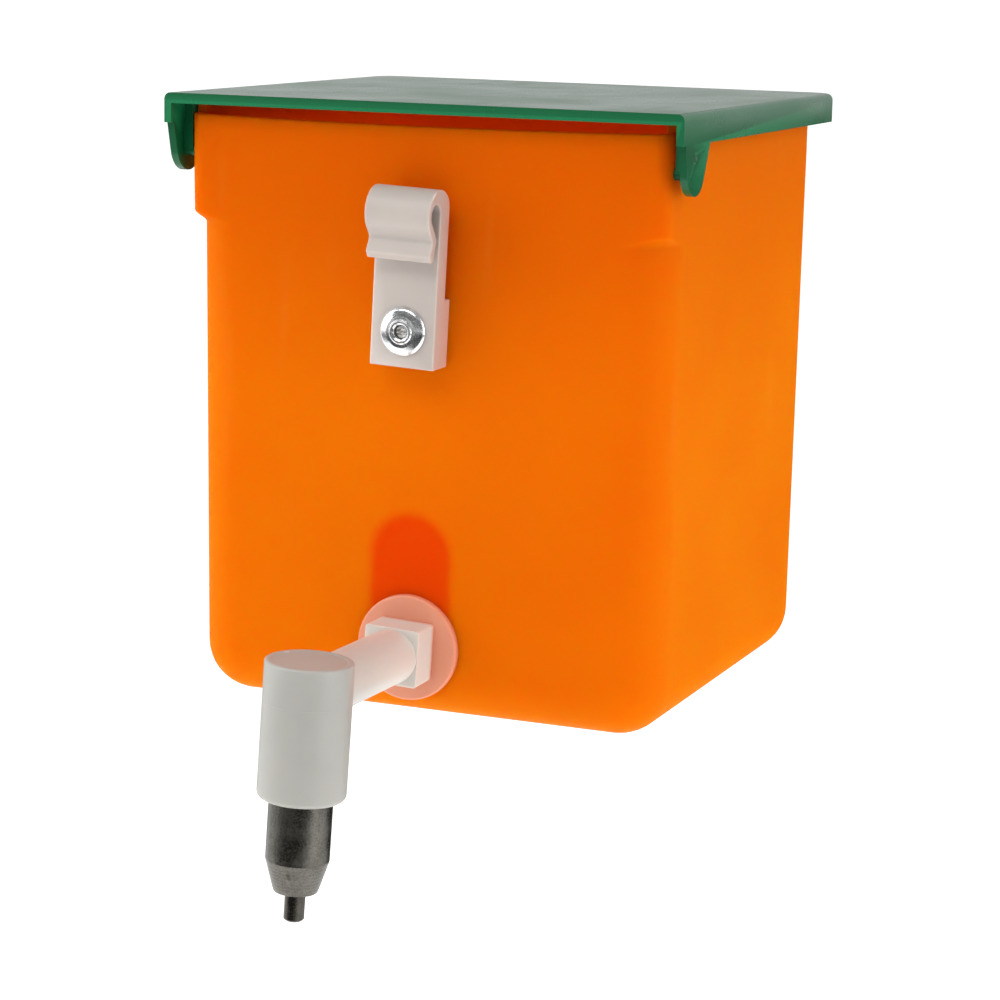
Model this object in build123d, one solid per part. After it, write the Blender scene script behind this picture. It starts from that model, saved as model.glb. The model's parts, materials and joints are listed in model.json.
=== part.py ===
from build123d import *
import math
import os

# Hanging water drinker for rabbit cages: an open-topped plastic tank with a
# hinged lid, a sprung clip that hangs it from a cage wire, and an elbow that
# carries a drinking nipple with a trigger pin.
#
# All lengths are in millimetres. While it is built, x runs to the right, y
# from the front of the tank to its back, and z up from the tank's underside.
# The finished pieces are then moved so that the origin is the middle of the
# clip's eye, where the cage wire lies.

# ---- Tank ----
tank_height = 119.6
tank_wall = 2.0
rim_width = 100.5
rim_depth = 97.3
base_width = 99.6
base_depth = 97.0
base_setback = 0.5            # the front face leans out this far towards the rim
base_corner_radius = 10.4
body_corner_radius = 9.6
base_edge_radius = 10.0
band_depth = 21.0             # tight-cornered band below the rim, at the front corners
band_ramp = 2.6
band_corner_radius = 3.0
front_rim_drop = 1.9          # the front rim is lower, so that the lid can swing past it
front_rim_sag = 0.6

# ---- Lid ----
lid_overhang_side = 3.75
lid_overhang_front = 3.3
lid_overhang_back = 2.0
lid_plate = 2.1
lid_wall = 1.5
lid_skirt = 5.9               # height of the skirt, plate included
lid_back_corner_radius = 5.6
lid_edge_radius = 1.3
lid_front_edge_radius = 0.4
lid_seat_gap = 0.05

# ---- Lid hinge ----
pivot_below_lid_top = 11.5
pivot_behind_lid_front = 7.0
pivot_pin_radius = 1.2
pivot_clearance = 0.08
pivot_pin_reach = 0.2         # the pin's end stands this far inside the tank
ear_front_root = 1.2
ear_back_root = 15.5
ear_length = 15.6             # from the lid's top
ear_tip_radius = 5.1
ear_tip_behind_front = 7.6
ear_rib_width = 2.8
ear_rib_gap = 0.35
ear_dimple_radius = 1.1
ear_dimple_depth = 0.5
ear_dimple_below_top = 8.4
ear_dimple_behind_front = 7.0

# ---- Hanging clip, a snap-on loop cut from an extruded strip ----
clip_x = -0.5
clip_height = 78.4            # height of its rivet above the tank's underside
clip_turn = 2.3               # degrees, clockwise as seen from the front
clip_width = 13.4
clip_front = 6.6              # front face of the stem, out from the tank
clip_back = 2.4               # back face of the stem above the pad
clip_pad_low = -7.0           # lower and upper ends of the pad, from the rivet
clip_pad_high = 6.3
clip_eye_radius = 2.1
clip_eye_height = 22.9
clip_eye_exit = 50.0          # degrees below level where the eye's curve ends
clip_loop_radius = 4.9
clip_loop_offset = 1.4        # the loop's outside is centred this far behind the eye
clip_loop_exit = 38.0         # degrees below level where the loop's outer curve ends
clip_shoulder_rise = 1.2      # the loop meets the stem's back this far above the eye's middle
clip_throat = 1.2             # gap that the wire snaps through
clip_throat_height = 18.3
clip_neck_wall = 1.7
clip_neck_drop = 0.3          # the neck is narrowest this far below the throat, in front
clip_lip_height = 14.0
clip_lip_reach = 4.3          # the lip's front edge, out from the stem's face
clip_lip_wall = 1.9
clip_lip_front_rise = 1.2     # how far the lip's front and inner corners lie above its lowest one
clip_lip_inner_rise = 0.3
clip_lip_slope = 1.0          # and how far its lowest corner lies behind the front one
clip_edge_radius = 0.3

# ---- Blind rivet through clip and tank, with its washer and seal ----
rivet_radius = 2.4
rivet_hole_clearance = 0.1
rivet_head_radius = 4.75
rivet_head_height = 1.35
rivet_head_edge = 0.4
rivet_crown_radius = 2.7
rivet_crown_drop = 0.15       # the crown slopes down this far from its mouth to its edge
rivet_mouth_lip = 0.4
rivet_bulb_radius = 3.6
rivet_bulb_swell = 0.3
rivet_bulb_length = 4.6
mandrel_radius = 1.35
mandrel_clearance = 0.05
mandrel_recess = 0.7
mandrel_head_radius = 2.2
mandrel_head_length = 1.5
rivet_washer_radius = 6.5
rivet_washer_thickness = 1.0
rivet_seal_thickness = 1.2

# ---- Outlet elbow ----
outlet_x = -1.2
outlet_height = 14.8
outlet_turn = 2.8             # degrees about its arm, clockwise as seen from the front
arm_rise = 1.4                # degrees that the arm rises away from the tank
flange_radius = 10.6
flange_thickness = 1.5
collar_side = 11.4
collar_depth = 7.4
collar_edge_radius = 0.5
arm_radius = 5.45
arm_reach = 45.6              # tank face to the barrel's axis
spigot_bore_radius = 2.5
arm_bore_radius = 2.2
spigot_radius = 4.8
spigot_clearance = 0.1
spigot_end = 1.0              # how far the spigot stands out of its nut
spigot_chamfer = 0.6
barrel_radius = 8.35
barrel_above_arm = 6.6
barrel_below_arm = 19.6
barrel_top_radius = 0.7
barrel_bottom_radius = 1.2
barrel_cap = 3.4
barrel_well_radius = 4.2
gasket_radius = 7.4
gasket_thickness = 1.5
nut_across_flats = 16.0
nut_thickness = 5.0
nut_corner_stand = 1.0        # the hexagon's turned-down corners stand this far beyond its flats
thread_clearance = 0.05

# ---- Drinking nipple ----
nipple_radius = 6.0
nipple_grip = 10.0            # length held inside the elbow's barrel
nipple_visible = 11.7
nipple_chamfer = 0.3
nipple_fit_clearance = 0.05
cone_length = 6.25
cone_tip_radius = 4.15
chamber_radius = 4.3
exit_radius = 3.0
seal_ring_thickness = 1.5
seal_ring_wall = 1.6
seat_thickness = 2.2
seat_hole_radius = 2.9
seat_fit = 0.03

# ---- Trigger pin and the spring that closes it ----
pin_radius = 1.93
pin_visible = 5.8
pin_end_chamfer = 0.35
ball_radius = 3.6
ball_clearance = 0.1
ball_contact_radius = 3.0
follower_clearance = 0.3
follower_thickness = 3.0
follower_hole_radius = 1.4
retainer_thickness = 1.2
retainer_radius = 5.0
retainer_hole_radius = 0.9
retainer_hole_circle = 2.4
retainer_hole_count = 4
spring_wire = 0.6
spring_mean_radius = 2.9
spring_turns = 7
spring_end_gap = 0.1

# ---- Sizes that follow from the ones above ----
lid_top = tank_height + lid_seat_gap + lid_plate
lid_front = -lid_overhang_front
lid_width = rim_width + 2 * lid_overhang_side
lid_depth = rim_depth + lid_overhang_front + lid_overhang_back
ear_inner_x = lid_width / 2 - lid_wall
pivot_y = lid_front + pivot_behind_lid_front
pivot_z = lid_top - pivot_below_lid_top
lean = math.degrees(math.atan(base_setback / tank_height))
eye_out = clip_front + clip_eye_radius
follower_radius = chamber_radius - follower_clearance
nipple_length = nipple_grip + nipple_visible + cone_length
nipple_top = -barrel_below_arm + nipple_grip
nipple_bottom = nipple_top - nipple_length
seat_low = nipple_bottom + cone_length
seat_high = seat_low + seat_thickness
ball_height = seat_high + math.sqrt(ball_radius**2 - ball_contact_radius**2)
pin_tip = nipple_bottom - pin_visible
retainer_low = nipple_top - retainer_thickness
inner_stack = tank_wall + rivet_seal_thickness + rivet_washer_thickness


def tank_section(z, inset, front_radius, back_radius):
    """Level slice through the tank at height z, shrunk all round by inset."""
    share = z / tank_height
    width = base_width + (rim_width - base_width) * share - 2 * inset
    depth = base_depth + (rim_depth - base_depth) * share - 2 * inset
    front = base_setback * (1 - share) + inset
    outline = Rectangle(width, depth)
    corners = outline.vertices().group_by(Axis.Y)
    outline = fillet(corners[0], front_radius - inset)
    outline = fillet(outline.vertices().group_by(Axis.Y)[-1], back_radius - inset)
    return Pos(0, front + depth / 2, z) * outline


def tank_form(bottom, top, inset):
    """Solid outer form of the tank, or of its hollow when inset by the wall."""
    ramp_low = tank_height - band_depth - band_ramp
    ramp_high = tank_height - band_depth
    body = loft([tank_section(bottom, inset, base_corner_radius, base_corner_radius),
                 tank_section(ramp_low, inset, body_corner_radius, body_corner_radius)])
    body = fillet(body.faces().sort_by(Axis.Z)[0].edges(), base_edge_radius - inset)
    ramp = loft([tank_section(ramp_low, inset, body_corner_radius, body_corner_radius),
                 tank_section(ramp_high, inset, band_corner_radius, body_corner_radius)])
    band = loft([tank_section(ramp_high, inset, band_corner_radius, body_corner_radius),
                 tank_section(top, inset, band_corner_radius, body_corner_radius)])
    return body + ramp + band


def on_front_wall(x, z):
    """Place on the tank's leaning front face, with local -Y pointing out of it."""
    return Pos(x, base_setback * (1 - z / tank_height), z) * Rot(X=lean)


def rod(radius, start, end):
    """Round bar along Y between two stations."""
    return Pos(0, (start + end) / 2, 0) * Rot(X=90) * Cylinder(radius, abs(end - start))


def post(radius, low, high):
    """Round bar along Z between two heights."""
    return Pos(0, 0, (low + high) / 2) * Cylinder(radius, high - low)


def make_tank():
    shell = tank_form(0, tank_height, 0) - tank_form(tank_wall, tank_height + 1, tank_wall)
    low_rim = tank_height - front_rim_drop
    half = rim_width / 2
    rim_line = Line((-half, tank_height + 1), (-half, low_rim))
    rim_line += ThreePointArc((-half, low_rim), (0, low_rim - front_rim_sag), (half, low_rim))
    rim_line += Line((half, low_rim), (half, tank_height + 1))
    rim_line += Line((half, tank_height + 1), (-half, tank_height + 1))
    notch = extrude(Plane.XZ * make_face(rim_line.edges()), -pivot_y)
    notch += extrude(Plane.XZ * make_face(rim_line.edges()), tank_wall)
    shell -= notch
    pivot_hole = Rot(Y=90) * Cylinder(pivot_pin_radius + pivot_clearance, rim_width + 1)
    shell -= Pos(0, pivot_y, pivot_z) * pivot_hole
    hole_reach = 2 * tank_wall
    rivet_hole = rod(rivet_radius + rivet_hole_clearance, -hole_reach, hole_reach)
    shell -= on_front_wall(clip_x, clip_height) * rivet_hole
    outlet_hole = rod(spigot_radius + spigot_clearance, -hole_reach, hole_reach)
    shell -= on_front_wall(outlet_x, outlet_height) * outlet_hole
    return shell


def lid_outline(inset, front):
    """Plan of the lid: square at the front, rounded at the back corners."""
    back = lid_front + lid_depth - inset
    outline = Rectangle(lid_width - 2 * inset, back - front)
    outline = fillet(outline.vertices().group_by(Axis.Y)[-1], lid_back_corner_radius - inset)
    return Pos(0, (front + back) / 2) * outline


def make_ear(side):
    """One hinge ear with its rib, pin and the dimple on its outer face."""
    root_height = lid_top - lid_skirt
    root = Line((lid_front + ear_front_root, root_height), (lid_front + ear_back_root, root_height))
    tip_height = lid_top - ear_length + ear_tip_radius
    tip = Pos(lid_front + ear_tip_behind_front, tip_height) * Circle(ear_tip_radius)
    outline = make_hull(root.edges() + tip.edges())
    ear = Pos(ear_inner_x, 0, 0) * extrude(Plane.YZ * outline, lid_wall)
    rib_inner = rim_width / 2 + ear_rib_gap
    rib_top = lid_top - lid_plate
    rib = Pos((rib_inner + ear_inner_x) / 2, pivot_y, (rib_top + pivot_z) / 2)
    rib = rib * Box(ear_inner_x - rib_inner, ear_rib_width, rib_top - pivot_z)
    pin_inner = rim_width / 2 - tank_wall - pivot_pin_reach
    pin = Pos((pin_inner + ear_inner_x) / 2, pivot_y, pivot_z) * Rot(Y=90)
    pin = pin * Cylinder(pivot_pin_radius, ear_inner_x - pin_inner)
    dimple = Pos(lid_width / 2, lid_front + ear_dimple_behind_front, lid_top - ear_dimple_below_top)
    dimple = dimple * Rot(Y=90) * Cylinder(ear_dimple_radius, 2 * ear_dimple_depth)
    ear = ear + rib + pin - dimple
    return ear if side > 0 else mirror(ear, Plane.YZ)


def make_lid():
    cover = Pos(0, 0, lid_top - lid_skirt) * extrude(lid_outline(0, lid_front), lid_skirt)
    top_edges = cover.faces().sort_by(Axis.Z)[-1].edges().sort_by(Axis.Y)
    cover = fillet(top_edges[1:], lid_edge_radius)
    front_edge = cover.edges().filter_by(Axis.X).group_by(Axis.Z)[-1].sort_by(Axis.Y)[0]
    cover = fillet(front_edge, lid_front_edge_radius)
    hollow = extrude(lid_outline(lid_wall, lid_front - 1), lid_skirt - lid_plate)
    cover -= Pos(0, 0, lid_top - lid_skirt) * hollow
    return cover + make_ear(1) + make_ear(-1)


def make_clip():
    """Strip profile in the plane of (out from the wall, height above the rivet)."""
    eye = (eye_out, clip_eye_height)
    eye_front = (eye_out + clip_eye_radius, clip_eye_height)
    eye_top = (eye_out, clip_eye_height + clip_eye_radius)
    eye_exit = math.radians(-clip_eye_exit)
    eye_end = (eye[0] + clip_eye_radius * math.cos(eye_exit), eye[1] + clip_eye_radius * math.sin(eye_exit))
    loop = (eye_out - clip_loop_offset, clip_eye_height)
    loop_exit = math.radians(-clip_loop_exit)
    loop_end = (loop[0] + clip_loop_radius * math.cos(loop_exit),
                loop[1] + clip_loop_radius * math.sin(loop_exit))
    loop_front = (loop[0] + clip_loop_radius, loop[1])
    loop_top = (loop[0], loop[1] + clip_loop_radius)
    shoulder = (clip_back, loop[1] + clip_shoulder_rise)
    shoulder_radius = (loop_top[0] - shoulder[0] + loop_top[1] - shoulder[1]) / 2
    throat = (clip_front + clip_throat, clip_throat_height)
    neck = (throat[0] + clip_neck_wall, clip_throat_height - clip_neck_drop)
    lip_front = (clip_front + clip_lip_reach, clip_lip_height + clip_lip_front_rise)
    lip_low = (lip_front[0] - clip_lip_slope, clip_lip_height)
    lip_inner = (lip_front[0] - clip_lip_wall, clip_lip_height + clip_lip_inner_rise)
    outline = Polyline((clip_back, clip_pad_high), (0, clip_pad_high), (0, clip_pad_low),
                       (clip_front, clip_pad_low), (clip_front, eye[1]))
    outline += ThreePointArc((clip_front, eye[1]), eye_top, eye_front)
    outline += RadiusArc(eye_front, eye_end, clip_eye_radius)
    outline += Polyline(eye_end, throat, lip_inner, lip_low, lip_front, neck, loop_end)
    outline += RadiusArc(loop_end, loop_front, -clip_loop_radius)
    outline += RadiusArc(loop_front, loop_top, -clip_loop_radius)
    outline += RadiusArc(loop_top, shoulder, -shoulder_radius)
    outline += Line(shoulder, (clip_back, clip_pad_high))
    strip = extrude(make_face(outline.edges()), clip_width / 2, both=True)
    strip = Rot(Z=-90) * Rot(X=90) * strip
    strip = chamfer(strip.edges().filter_by(Axis.Y).group_by(Axis.Z)[0], clip_edge_radius)
    return strip - rod(rivet_radius + rivet_hole_clearance, -clip_front - 1, 1)


def make_rivet():
    """Set blind rivet: domed head, tube and the bulb that grips the washer."""
    face = -clip_front
    crown = face - rivet_head_height
    bulb_start = inner_stack
    bulb_end = bulb_start + rivet_bulb_length
    bulb_mid = bulb_start + rivet_bulb_length / 2
    bore = mandrel_radius + mandrel_clearance
    profile = Polyline((bore, crown + mandrel_clearance), (bore + rivet_mouth_lip, crown),
                       (rivet_crown_radius, crown + rivet_crown_drop),
                       (rivet_head_radius, face - rivet_head_edge), (rivet_head_radius, face),
                       (rivet_radius, face), (rivet_radius, bulb_start), (rivet_bulb_radius, bulb_start))
    bulb_widest = (rivet_bulb_radius + rivet_bulb_swell, bulb_mid)
    profile += ThreePointArc((rivet_bulb_radius, bulb_start), bulb_widest, (rivet_radius, bulb_end))
    profile += Polyline((rivet_radius, bulb_end), (bore, bulb_end), (bore, crown + mandrel_clearance))
    return revolve(make_face(profile.edges()), Axis.Y)


def make_mandrel():
    """Broken-off steel stem left in the rivet, with its head beyond the bulb."""
    outer_end = -clip_front - rivet_head_height + mandrel_recess
    bulb_end = inner_stack + rivet_bulb_length
    stem = rod(mandrel_radius, outer_end, bulb_end + mandrel_head_length / 2)
    stem = chamfer(stem.edges().group_by(Axis.Y)[0], mandrel_radius / 4)
    head = rod(mandrel_head_radius, bulb_end, bulb_end + mandrel_head_length)
    return stem + fillet(head.edges().group_by(Axis.Y)[-1], mandrel_head_length / 3)


def make_rivet_seal():
    seal = rod(rivet_washer_radius, tank_wall, tank_wall + rivet_seal_thickness)
    return seal - rod(rivet_radius + rivet_hole_clearance, 0, inner_stack)


def make_rivet_washer():
    washer = rod(rivet_washer_radius, tank_wall + rivet_seal_thickness, inner_stack)
    return washer - rod(rivet_radius + rivet_hole_clearance, 0, inner_stack)


def arm_place():
    """Frame of the arm and barrel: origin on the barrel's axis at arm height."""
    shoulder = flange_thickness + collar_depth
    return Pos(0, -shoulder, 0) * Rot(X=-arm_rise) * Pos(0, shoulder - arm_reach, 0)


def make_elbow():
    shoulder = flange_thickness + collar_depth
    spigot_tip = tank_wall + gasket_thickness + nut_thickness + spigot_end
    flange = rod(flange_radius, -flange_thickness, 0)
    flange = fillet(flange.edges().group_by(Axis.Y)[0], flange_thickness / 3)
    collar = Pos(0, -flange_thickness - collar_depth / 2, 0) * Box(collar_side, collar_depth, collar_side)
    collar = fillet(collar.edges().filter_by(Axis.Y) + collar.edges().group_by(Axis.Y)[0], collar_edge_radius)
    spigot = chamfer(rod(spigot_radius, -1, spigot_tip).edges().group_by(Axis.Y)[-1], spigot_chamfer)
    barrel = post(barrel_radius, -barrel_below_arm, barrel_above_arm)
    barrel = fillet(barrel.edges().group_by(Axis.Z)[-1], barrel_top_radius)
    barrel = fillet(barrel.edges().group_by(Axis.Z)[0], barrel_bottom_radius)
    arm = rod(arm_radius, 0, arm_reach - shoulder + 1)
    elbow = flange + collar + spigot + arm_place() * (barrel + arm)
    socket_top = nipple_top + seal_ring_thickness
    socket = post(nipple_radius + nipple_fit_clearance, -barrel_below_arm - 1, socket_top)
    well = post(barrel_well_radius, -barrel_below_arm, barrel_above_arm - barrel_cap)
    arm_bore = rod(arm_bore_radius, 0, arm_reach - shoulder + 0.5)
    elbow -= arm_place() * (socket + well + arm_bore)
    return elbow - rod(spigot_bore_radius, -shoulder, spigot_tip + 1)


def make_gasket(tank):
    """Rubber ring squeezed against the inside of the tank, whose curve it takes."""
    gasket = rod(gasket_radius, tank_wall, tank_wall + gasket_thickness)
    gasket -= rod(spigot_radius + spigot_clearance, 0, tank_wall + gasket_thickness + 1)
    return outlet_place * gasket - tank


def make_nut():
    start = tank_wall + gasket_thickness
    hexagon = RegularPolygon(nut_across_flats / 2, 6, major_radius=False)
    nut = Pos(0, start + nut_thickness, 0) * Rot(X=90) * extrude(hexagon, nut_thickness)
    nut &= rod(nut_across_flats / 2 + nut_corner_stand, start, start + nut_thickness)
    return nut - rod(spigot_radius + thread_clearance, start - 1, start + nut_thickness + 1)


def make_nipple():
    """Turned metal body: plain barrel, cone, spring chamber and exit hole."""
    body = post(nipple_radius, seat_low, nipple_top)
    cone = Pos(0, 0, nipple_bottom + cone_length / 2) * Cone(cone_tip_radius, nipple_radius, cone_length)
    body = chamfer((body + cone).edges().group_by(Axis.Z)[-1], nipple_chamfer)
    body -= post(chamber_radius, seat_low, nipple_top + 1)
    body -= post(retainer_radius, retainer_low, nipple_top + 1)
    return body - post(exit_radius, nipple_bottom - 1, seat_low + 1)


def make_seal_ring():
    ring = post(nipple_radius - seat_fit, nipple_top, nipple_top + seal_ring_thickness)
    return ring - post(nipple_radius - seal_ring_wall, nipple_top - 1, nipple_top + seal_ring_thickness + 1)


def ball(extra):
    return Pos(0, 0, ball_height) * Sphere(ball_radius + extra)


def make_seat():
    seat = post(chamber_radius - seat_fit, seat_low, seat_high)
    return seat - post(seat_hole_radius, seat_low - 1, seat_high + 1) - ball(ball_clearance)


def make_pin():
    stem = chamfer(post(pin_radius, pin_tip, ball_height).edges().group_by(Axis.Z)[0], pin_end_chamfer)
    return stem + ball(0)


def make_follower():
    low = ball_height + ball_radius / 2
    follower = post(follower_radius, low, low + follower_thickness)
    follower -= post(follower_hole_radius, low - 1, low + follower_thickness + 1)
    return follower - ball(ball_clearance)


def make_retainer():
    retainer = post(retainer_radius - seat_fit, retainer_low, nipple_top)
    hole = Pos(retainer_hole_circle, 0, 0) * post(retainer_hole_radius, retainer_low, nipple_top)
    for number in range(retainer_hole_count):
        retainer -= Rot(Z=360 * number / retainer_hole_count) * hole
    return retainer


def make_spring():
    low = ball_height + ball_radius / 2 + follower_thickness + spring_end_gap + spring_wire / 2
    high = retainer_low - spring_end_gap - spring_wire / 2
    path = Helix((high - low) / spring_turns, high - low, spring_mean_radius)
    wire = Plane(path @ 0, z_dir=path % 0) * Circle(spring_wire / 2)
    return Pos(0, 0, low) * sweep(wire, path)


clip_place = on_front_wall(clip_x, clip_height) * Rot(Y=clip_turn)
outlet_place = on_front_wall(outlet_x, outlet_height) * Rot(Y=outlet_turn)
barrel_place = outlet_place * arm_place()
eye_centre = (clip_place * Pos(0, -eye_out, clip_eye_height)).position
to_eye = Pos(-eye_centre.X, -eye_centre.Y, -eye_centre.Z)

tank = make_tank()

pieces = {
    "tank": tank,
    "lid": make_lid(),
    "hanging_clip": clip_place * make_clip(),
    "rivet_body": clip_place * make_rivet(),
    "rivet_mandrel": clip_place * make_mandrel(),
    "rivet_seal": clip_place * make_rivet_seal(),
    "rivet_washer": clip_place * make_rivet_washer(),
    "outlet_elbow": outlet_place * make_elbow(),
    "outlet_gasket": make_gasket(tank),
    "lock_nut": outlet_place * make_nut(),
    "nipple_body": barrel_place * make_nipple(),
    "nipple_seal_ring": barrel_place * make_seal_ring(),
    "valve_seat": barrel_place * make_seat(),
    "trigger_pin": barrel_place * make_pin(),
    "spring_follower": barrel_place * make_follower(),
    "spring_retainer": barrel_place * make_retainer(),
    "pin_spring": barrel_place * make_spring(),
}

os.makedirs("parts", exist_ok=True)
for name, piece in pieces.items():
    export_step(to_eye * piece, f"parts/{name}.step")


def show(label, place):
    """Print where a frame lies, in metres, and its three directions."""
    spot = place.position
    plane = Plane(place)
    print(label, [round(value / 1000, 6) for value in spot],
          "x", [round(value, 5) for value in plane.x_dir],
          "z", [round(value, 5) for value in plane.z_dir])


show("clip eye", to_eye * clip_place * Pos(0, -eye_out, clip_eye_height))
show("ball centre", to_eye * barrel_place * Pos(0, 0, ball_height))
show("lid pivot", to_eye * Pos(0, pivot_y, pivot_z))
show("tank underside", to_eye * Pos(0, base_setback + base_depth / 2, 0))
show("spring's fixed end", to_eye * barrel_place * Pos(0, 0, retainer_low))
inside_half = base_width / 2 - tank_wall
inside_front = base_setback + tank_wall
inside_back = base_setback + base_depth - tank_wall
show("inside front, left, floor", to_eye * Pos(-inside_half, inside_front, tank_wall))
show("inside back, right, rim", to_eye * Pos(inside_half, inside_back, tank_height))
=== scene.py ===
# %% [markdown]
# # A hanging water drinker for a rabbit cage
# The drinker hangs on the outside of a wire cage. A translucent orange tank holds about a litre of
# water under a hinged green lid, a white snap clip grips a cage wire, and a white elbow carries a
# metal nipple through the wires. The rabbit pushes or rocks the nipple's pin, and water runs down it.
#
# The engineering model already holds every size, seat and pivot. This lesson loads it as a fixed
# frame and makes the surfaces that a person sees: moulded plastic, spun and turned metal, rubber.

# %% Load the fixed frame
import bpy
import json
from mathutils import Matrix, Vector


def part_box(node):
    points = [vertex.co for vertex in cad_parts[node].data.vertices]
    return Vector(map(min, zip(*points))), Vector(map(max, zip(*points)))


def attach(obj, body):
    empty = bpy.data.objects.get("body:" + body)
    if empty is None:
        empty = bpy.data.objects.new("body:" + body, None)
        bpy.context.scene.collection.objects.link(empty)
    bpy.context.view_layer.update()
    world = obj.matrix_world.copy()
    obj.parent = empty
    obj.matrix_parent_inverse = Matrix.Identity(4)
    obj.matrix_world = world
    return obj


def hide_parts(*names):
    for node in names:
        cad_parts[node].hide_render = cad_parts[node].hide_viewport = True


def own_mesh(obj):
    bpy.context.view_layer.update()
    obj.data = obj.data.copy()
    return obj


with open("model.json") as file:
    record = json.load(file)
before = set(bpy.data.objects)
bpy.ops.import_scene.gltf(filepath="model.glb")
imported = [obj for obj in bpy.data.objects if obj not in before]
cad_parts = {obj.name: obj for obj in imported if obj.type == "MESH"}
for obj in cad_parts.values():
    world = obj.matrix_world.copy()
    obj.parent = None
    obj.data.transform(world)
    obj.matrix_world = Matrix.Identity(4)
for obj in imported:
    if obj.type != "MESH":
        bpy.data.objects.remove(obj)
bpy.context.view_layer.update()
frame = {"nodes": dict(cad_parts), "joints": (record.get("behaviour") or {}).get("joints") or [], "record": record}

# %% Tools for the whole lesson
import json
import math
import bmesh
import bpy
from mathutils import Matrix, Vector, noise

MM = 0.001
TO_METRES = Matrix.Scale(MM, 4)

mounts = {mount["name"]: mount for mount in frame["record"]["mounts"]}
joints = {joint["name"]: joint for joint in frame["joints"]}
print("mounts:", sorted(mounts), "joints:", sorted(joints))

# %% [markdown]
# ## Where the pieces sit
# Each group of pieces was designed in a drawing plane of its own: the tank on its underside, the clip
# on its rivet, the elbow on its flange and the nipple on its own axis. A maker works the same way,
# because a turned part is easiest to describe along its axis. So each group gets a matrix that turns
# millimetres in its drawing plane into metres in the frame. They come from the frame's own mounts,
# joints and boxes, so nothing has to be fitted by eye.

# %% The tank's drawing plane, from its box
tank_low, tank_high = (Vector(corner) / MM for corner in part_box("tank"))
lid_low, lid_high = (Vector(corner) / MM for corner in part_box("lid"))
tank_height = tank_high.z - tank_low.z
rim_width = tank_high.x - tank_low.x
centre_x = (tank_low.x + tank_high.x) / 2
tank_plane = TO_METRES @ Matrix.Translation((centre_x, tank_low.y, tank_low.z))
print("tank, mm:", round(rim_width, 1), "wide,", round(tank_height, 1), "high")

# %% The clip's drawing plane, from the wire that it grips
base_setback = 0.5            # the front wall leans out this far from underside to rim
eye_out = 8.7                 # middle of the clip's eye, out from the wall
eye_height = 22.9             # and above the rivet
wall_lean = math.atan(base_setback / tank_height)
clip_turn = math.asin(-mounts["wire_clip"]["axis"][2])
clip_plane = (Matrix.Translation(mounts["wire_clip"]["pos_m"])
              @ Matrix.Rotation(wall_lean, 4, "X") @ Matrix.Rotation(clip_turn, 4, "Y")
              @ TO_METRES @ Matrix.Translation((0, eye_out, -eye_height)))
print("the clip hangs", round(math.degrees(clip_turn), 1), "degrees off square")

# %% The nipple's and the elbow's drawing planes, from the pin's joints
barrel_below_arm = 19.6
nipple_grip = 10.0            # length of the nipple inside the elbow
nipple_visible = 11.7
cone_length = 6.25
seat_thickness = 2.2
ball_radius = 3.6
ball_contact_radius = 3.0
flange_thickness = 1.5
collar_depth = 7.4
arm_reach = 45.6              # wall to the barrel's axis
arm_rise = math.radians(1.4)

nipple_top = nipple_grip - barrel_below_arm
nipple_bottom = nipple_top - nipple_grip - nipple_visible - cone_length
seat_low = nipple_bottom + cone_length
seat_high = seat_low + seat_thickness
ball_height = seat_high + math.sqrt(ball_radius**2 - ball_contact_radius**2)

across = Vector(joints["pin_tilt"]["axis"]).normalized()
upward = Vector(joints["pin_push"]["axis"]).normalized()
turned = Matrix((across, upward.cross(across), upward)).transposed().to_4x4()
barrel_plane = (Matrix.Translation(joints["pin_tilt"]["pos_m"]) @ turned
                @ TO_METRES @ Matrix.Translation((0, 0, -ball_height)))
shoulder = flange_thickness + collar_depth
arm_bend = (Matrix.Translation((0, -shoulder, 0)) @ Matrix.Rotation(-arm_rise, 4, "X")
            @ Matrix.Translation((0, shoulder - arm_reach, 0)))
outlet_plane = barrel_plane @ arm_bend.inverted()
print("flange centre, m:", [round(value, 4) for value in outlet_plane.translation])

# %% [markdown]
# ## Shaping tools
# Four ways of making a shape cover the whole object. *Turning* spins an outline about an axis, for
# the rivet, the nipple and every ring. *Extruding* pushes an outline through a straight die, for the
# clip. *Skinning* joins rings of points, for the tank. *Carving* joins and cuts closed solids, for
# the elbow with its bores. Real parts have no perfectly sharp corner, so outlines are softened
# with small arcs before they are used.

# %% Soften an outline's corners
def soften(corners, closed=True, steps=4):
    """Outline through corners (a, b, radius), each rounded by an arc of its radius."""
    points = []
    count = len(corners)
    for index, (a, b, radius) in enumerate(corners):
        here = Vector((a, b))
        at_end = not closed and index in (0, count - 1)
        if radius <= 0 or at_end:
            points.append(here)
            continue
        before = Vector(corners[index - 1][:2]) - here
        after = Vector(corners[(index + 1) % count][:2]) - here
        half = before.angle(after) / 2
        reach = min(radius / math.tan(half), 0.48 * before.length, 0.48 * after.length)
        start = here + before.normalized() * reach
        end = here + after.normalized() * reach
        middle = here + (before.normalized() + after.normalized()).normalized() * reach / math.cos(half)
        sweep = math.pi - 2 * half
        for step in range(steps + 1):
            share = step / steps
            from_start = (start - middle) * math.sin((1 - share) * sweep)
            from_end = (end - middle) * math.sin(share * sweep)
            points.append(middle + (from_start + from_end) / math.sin(sweep))
    return points


def arc(middle, radius_a, radius_b, start, end, steps=16):
    """Points on an ellipse, from one angle to another in degrees."""
    points = []
    for step in range(steps + 1):
        angle = math.radians(start + (end - start) * step / steps)
        a = middle[0] + radius_a * math.cos(angle)
        b = middle[1] + radius_b * math.sin(angle)
        points.append(Vector((a, b)))
    return points


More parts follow.
